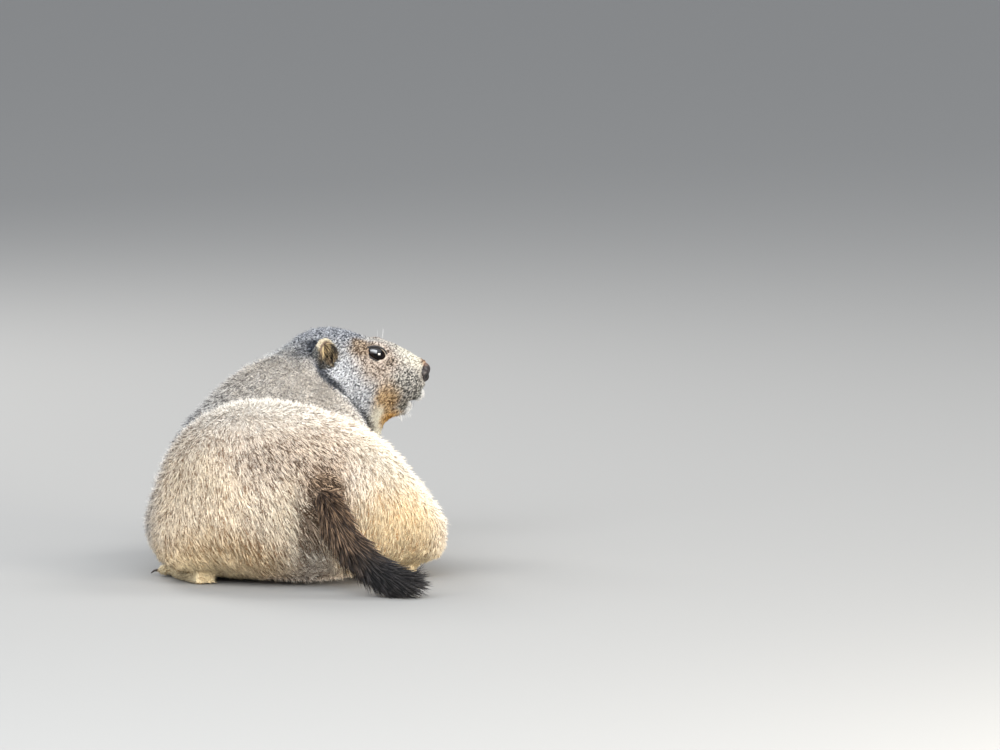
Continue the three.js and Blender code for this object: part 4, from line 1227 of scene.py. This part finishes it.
for number, (name, ear) in enumerate(ears.items()):
    cup = remeshed(f"ear_{name}_hide", [merged_copy([f"ear_{name}"])], EAR_CELL)
    spots = relaxed(coordinates(cup.data), cup.data, DRAWN, EAR_SMOOTHED)
    spots = np.array(ear.centre) + (spots - np.array(ear.centre)) * EAR_SHRINK
    spots -= EAR_SUNK * MM * ear.lost(spots)[:, None] * np.array(ear.out)
    place_vertices(cup.data, spots)
    own, normals = ear.local(spots), normals_of(cup.data)
    rim = lengths_of(own[:, :2] / EAR_HALF[:2])
    hollow = eased(rim, *EAR_HOLLOW) * (normals @ np.array(ear.out) > 0.1)
    across, tall = np.array(ear.across), np.array(ear.tall)
    spread = own[:, :1] * across / EAR_SPREAD[0] + own[:, 1:2] * tall / EAR_SPREAD[1]
    up_and_out = tall * 0.5 + spread
    hanging = tall * -1.0 + np.array(head.forward) * 0.25 + np.array(ear.out) * 0.3
    ways = flat_on(up_and_out * (1 - hollow[:, None]) + hanging * hollow[:, None], normals)
    high = eased(own[:, 1], -4, 8)
    hair = (EAR_NAP + (EAR_STREAK - EAR_NAP) * hollow * (0.5 + 0.5 * high)) * MM
    wrap = np.stack([own[:, 1] * MM, own[:, 0], own[:, 2] + EAR_BEHIND], 1)
    carry(cup.data, lie=ways, hair=hair, bald=0, wrap=wrap, stretch=0)
    # the ear's hair is painted darker towards its roots, from 0.7, as painted shade
    fur_of_ear = hair_finish(f"ear_fur_{name}", ear_hair(ear), (0.7, 1.0), Roughness=0.8)
    grow(f"coat_ear_{name}", cup, 0, fur_of_ear, "ear_coat", EAR_MAP, Seed=EAR_SEED + number, Cover=6.0,
         Slimness=14.0, Least_Width=0.38 * MM, Lean=0.3, Stray=0.26)
    clear(cup.data)
    cup.data.materials.append(material(f"ear_hide_{name}", (112, 94, 80), Roughness=0.8)[0])
    cup.data.shade_smooth()
    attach(cup, "root")
    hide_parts(f"ear_{name}")

# The eyes
#
# Glass balls, almost black, with a very dark brown iris. They sit in the head so that the lids cover
# all but an almond of each. Only their upper front has a clear coat, so the sky shines in them there
# alone: a painted highlight, placed by a mask.

PUPIL, IRIS = 4.0, 7.4  # radii
BALL_SEGMENTS, BALL_RINGS = 48, 32


def eye_finish(eye):
    """Pupil, iris and the dark round it, with a coat only on the upper front of the ball: a painted
    highlight's place.
    """
    finish, t, shader = material("eye_glass", Roughness=0.03, IOR=1.4, Specular_IOR_Level=0.2, Coat_IOR=2.2)
    off = t.scaled(t.spot() - eye.centre, 1 / MM)
    away = t.length(t.joined(t.dot(off, eye.along), t.dot(off, eye.over), 0.0))
    iris = t.mixed(t.smooth(away, PUPIL - 0.4, PUPIL + 0.4), colour(4, 4, 5), colour(20, 14, 11))
    ball = t.mixed(t.smooth(away, IRIS - 0.8, IRIS + 0.4), iris, colour(8, 7, 7))
    t.plug(shader.inputs["Base Color"], ball)
    # the coat, and so the reflection, is masked to the upper front: a painted highlight
    wet = t.smooth(t.dot(off, eye.over), -1.2, 1.6) * t.smooth(t.dot(off, eye.along), 2.6, 0.4)
    t.plug(shader.inputs["Coat Weight"], wet)
    return finish


for name, eye in lids.items():
    ball = bmesh.new()
    turned = Matrix.Translation(eye.centre) @ eye.out.to_track_quat("Z", "Y").to_matrix().to_4x4()
    bmesh.ops.create_uvsphere(
        ball, u_segments=BALL_SEGMENTS, v_segments=BALL_RINGS, radius=BALL * MM, matrix=turned)
    mesh = mesh_of(ball, f"eyeball_{name}")
    made = new_object(f"eyeball_{name}", mesh, eye_finish(eye))
    mesh.shade_smooth()
    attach(made, "root")
    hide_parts(f"eye_{name}")

# The eyelids' rims
#
# Dark bare skin edges each lid, thickest at the corner that points to the nose, and a thin pale wet
# line runs along the inner edge of the upper one. They are rings that follow the ball.

RIM_STEPS = 44
RIM_GROW, RIM_LIFT = 1.08, 0.35  # in sizes of the opening, and in millimetres off the ball
WET_STEPS, WET_FROM, WET_TURN = 20, 5, 125  # degrees round the opening
WET_GROW, WET_LIFT, WET_THICK = 0.945, 0.42, 0.27
RIM_SIDES, WET_SIDES = 8, 6
RIM_THICK, RIM_ABOVE, RIM_TO_NOSE = 0.95, 0.2, 0.4  # all round, and what is added above and at the nose
rim_finish = material("lid_rim", (30, 26, 26), Roughness=0.45)[0]
wet_finish = material("lid_wet_edge", (204, 190, 168), Roughness=0.35)[0]
for name, eye in lids.items():
    turns = [2 * math.pi * k / RIM_STEPS for k in range(RIM_STEPS)]
    rim = [eye.rim(turn, RIM_GROW, RIM_LIFT) for turn in turns]
    over = [RIM_ABOVE * max(math.sin(turn), 0) for turn in turns]
    to_nose = [RIM_TO_NOSE * max(math.cos(turn), 0) ** 6 for turn in turns]
    thick = [(RIM_THICK + above + ahead) * MM for above, ahead in zip(over, to_nose)]
    made = new_object(f"lid_rim_{name}", tube("rim", rim, thick, RIM_SIDES, closed=True), rim_finish)
    turns = [math.radians(WET_FROM + WET_TURN * k / WET_STEPS) for k in range(WET_STEPS + 1)]
    inside = [eye.rim(turn, WET_GROW, WET_LIFT) for turn in turns]
    tapers = [math.sin(math.pi * (k + 0.6) / (WET_STEPS + 1.2)) for k in range(WET_STEPS + 1)]
    thick = [WET_THICK * MM * taper for taper in tapers]
    wet = new_object(f"lid_wet_{name}", tube("wet", inside, thick, WET_SIDES), wet_finish)
    for piece in (made, wet):
        piece.data.shade_smooth()
        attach(piece, "root")

# The nose
#
# A pad of bare pebbled skin, moist and dark, with two comma-shaped nostrils and a furrow between them
# that runs down to the lip. The nostrils' holes are painted near-black, as painted shade. It is
# modelled from lobes that are blended into one surface.

NOSE_CELL = 0.4 * MM
LOBES = [  # middle and radii, in the head
    ((0, 40.0, -15.8), (7.4, 6.9, 6.6)),
    ((5.2, 39.2, -19.0), (4.6, 6.7, 6.6)),
    ((-5.2, 39.2, -19.0), (4.6, 6.7, 6.6)),
    ((0, 40.2, -22.0), (4.0, 6.0, 5.2)),
]
NOSTRILS = {side: Vector((side * 6.3, 43.4, -21)) for side in SIDES.values()}
NOSTRIL_RADII = (2.5, 2.6, 2.6)
NOSTRIL_DEEP, NOSTRIL_WAY = 2.6, (-0.55, -0.8, 0.2)
NOSTRIL_SHADE_RADII, NOSTRIL_EDGE = Vector((2.2, 2.6, 2.8)), (1.15, 0.75)
FURROW_WIDE, FURROW_DEEP = 0.8, 0.8
FURROW_TOP, FURROW_FRONT = (-14, -18), 38
NOSE_SMOOTHED = 12  # rounds
LEATHER_EDGE, LEATHER_RAGGED = (-12.5, -9), 2  # where the dark leather ends above, and how raggedly
lobes = bmesh.new()
for middle, radii in LOBES:
    turn = Matrix([head.right * radii[0], head.forward * radii[1], UP * radii[2]]).transposed() * MM
    turned = Matrix.Translation(head.at(*middle)) @ turn.to_4x4()
    bmesh.ops.create_uvsphere(lobes, u_segments=24, v_segments=16, radius=1, matrix=turned)
nose = remeshed("nose_pad", [mesh_of(lobes, "lobes")], NOSE_CELL)
spots = relaxed(coordinates(nose.data), nose.data, DRAWN, NOSE_SMOOTHED)
own = head.local(spots)
for side, nostril in NOSTRILS.items():
    hole = NOSTRIL_DEEP * np.exp(-((((own - nostril) / NOSTRIL_RADII) ** 2).sum(1)) ** 2)
    spots += hole[:, None] * MM * np.array(head.to(side * NOSTRIL_WAY[0], *NOSTRIL_WAY[1:]))
furrow = FURROW_DEEP * np.exp(-(own[:, 0] / FURROW_WIDE) ** 2)
furrow = furrow * eased(own[:, 2], *FURROW_TOP) * (own[:, 1] > FURROW_FRONT)
spots -= furrow[:, None] * MM * np.array(head.forward)
place_vertices(nose.data, spots)
nose.data.shade_smooth()

nose_finish, t, shader = material("nose_leather", Roughness=0.38)
place = t.spot()
ragged = place[2] + t.noise(place, 500.0) * LEATHER_RAGGED * MM
above = t.smooth(ragged, *[head.at(0, 0, up).z for up in LEATHER_EDGE])
leather = t.mixed(above, colour(38, 30, 30), colour(104, 76, 60))
# the nostrils are painted near-black: painted shade in their holes
inside = None
for nostril in NOSTRILS.values():
    off = t.scaled(place - head.at(*nostril), 1 / MM) / NOSTRIL_SHADE_RADII
    in_nostril_shade = t.smooth(t.length(off), *NOSTRIL_EDGE)
    inside = t.maths("MAXIMUM", inside, in_nostril_shade) if inside else in_nostril_shade
t.plug(shader.inputs["Base Color"], t.mixed(inside, leather, colour(7, 5, 5)))
pebbles = t.get("ShaderNodeTexVoronoi", {"Vector": place, "Scale": 1100.0}, out="Distance")
bump = t.get("ShaderNodeBump", {"Strength": 0.35, "Distance": 0.2 * MM, "Height": 1 - pebbles})
t.plug(shader.inputs["Normal"], bump)
nose.data.materials.append(nose_finish)
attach(nose, "root")
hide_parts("nose")

# The lips
#
# The edge of the lips is a line of dark bare skin, which shows where the two meet. It lies in the
# groove of the hide, from one corner of the mouth round the front to the other.

LIP_EDGE = 0.75 * MM  # its radius in the middle
LIP_EDGE_ENDS = 0.35  # of that at both corners
LIP_SIDES = 8
to_skin = surface_of(skin.data)
sunk = head.to(0, -1, 0.1) * LIP_DEEP_AHEAD * MM
shares = eased(head.local(mouth.points)[:, 1], *LIP_AHEAD)
edge = [to_skin.find_nearest(Vector(point) + sunk * share)[0] for point, share in zip(mouth.points, shares)]
middleness = [math.sin(math.pi * k / (len(edge) - 1)) for k in range(len(edge))]
edge_radii = [LIP_EDGE * (LIP_EDGE_ENDS + (1 - LIP_EDGE_ENDS) * share) for share in middleness]
lip_finish = material("lip_skin", (44, 38, 38), Roughness=0.5)[0]
lips = new_object("lip_edge", tube("lip", edge, edge_radii, LIP_SIDES), lip_finish)
lips.data.shade_smooth()
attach(lips, "root")

# The claws
#
# Long digging claws of dark horn with paler streaks in its grain, one at the end of each toe. They
# are the solids' claws with their edges rounded, four on a fore foot and five on a hind foot.

CLAW_GRAIN, CLAW_DRAWN = 1500.0, Vector((1, 0.2, 1))
CLAW_ROUNDED = 2  # subdivisions
horn, t, shader = material("claw_horn", Roughness=0.34)
grain = t.noise(t.spot() * CLAW_DRAWN, CLAW_GRAIN)
streaked = t.mixed(t.smooth(grain, 0.3, 0.75), colour(36, 29, 25), colour(74, 62, 52))
t.plug(shader.inputs["Base Color"], streaked)
for foot in ("fore_foot_right", "fore_foot_left", "hind_foot_right", "hind_foot_left"):
    claw_nodes = [name for name in nodes if name.startswith(f"claw_{foot}")]
    claws = new_object(f"claws_{foot}", merged_copy(claw_nodes), horn)
    rounding = claws.modifiers.new("rounding", "SUBSURF")
    rounding.levels = rounding.render_levels = CLAW_ROUNDED
    claws = finished(claws)
    claws.data.shade_smooth()
    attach(claws, "root")
    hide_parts(*claw_nodes)
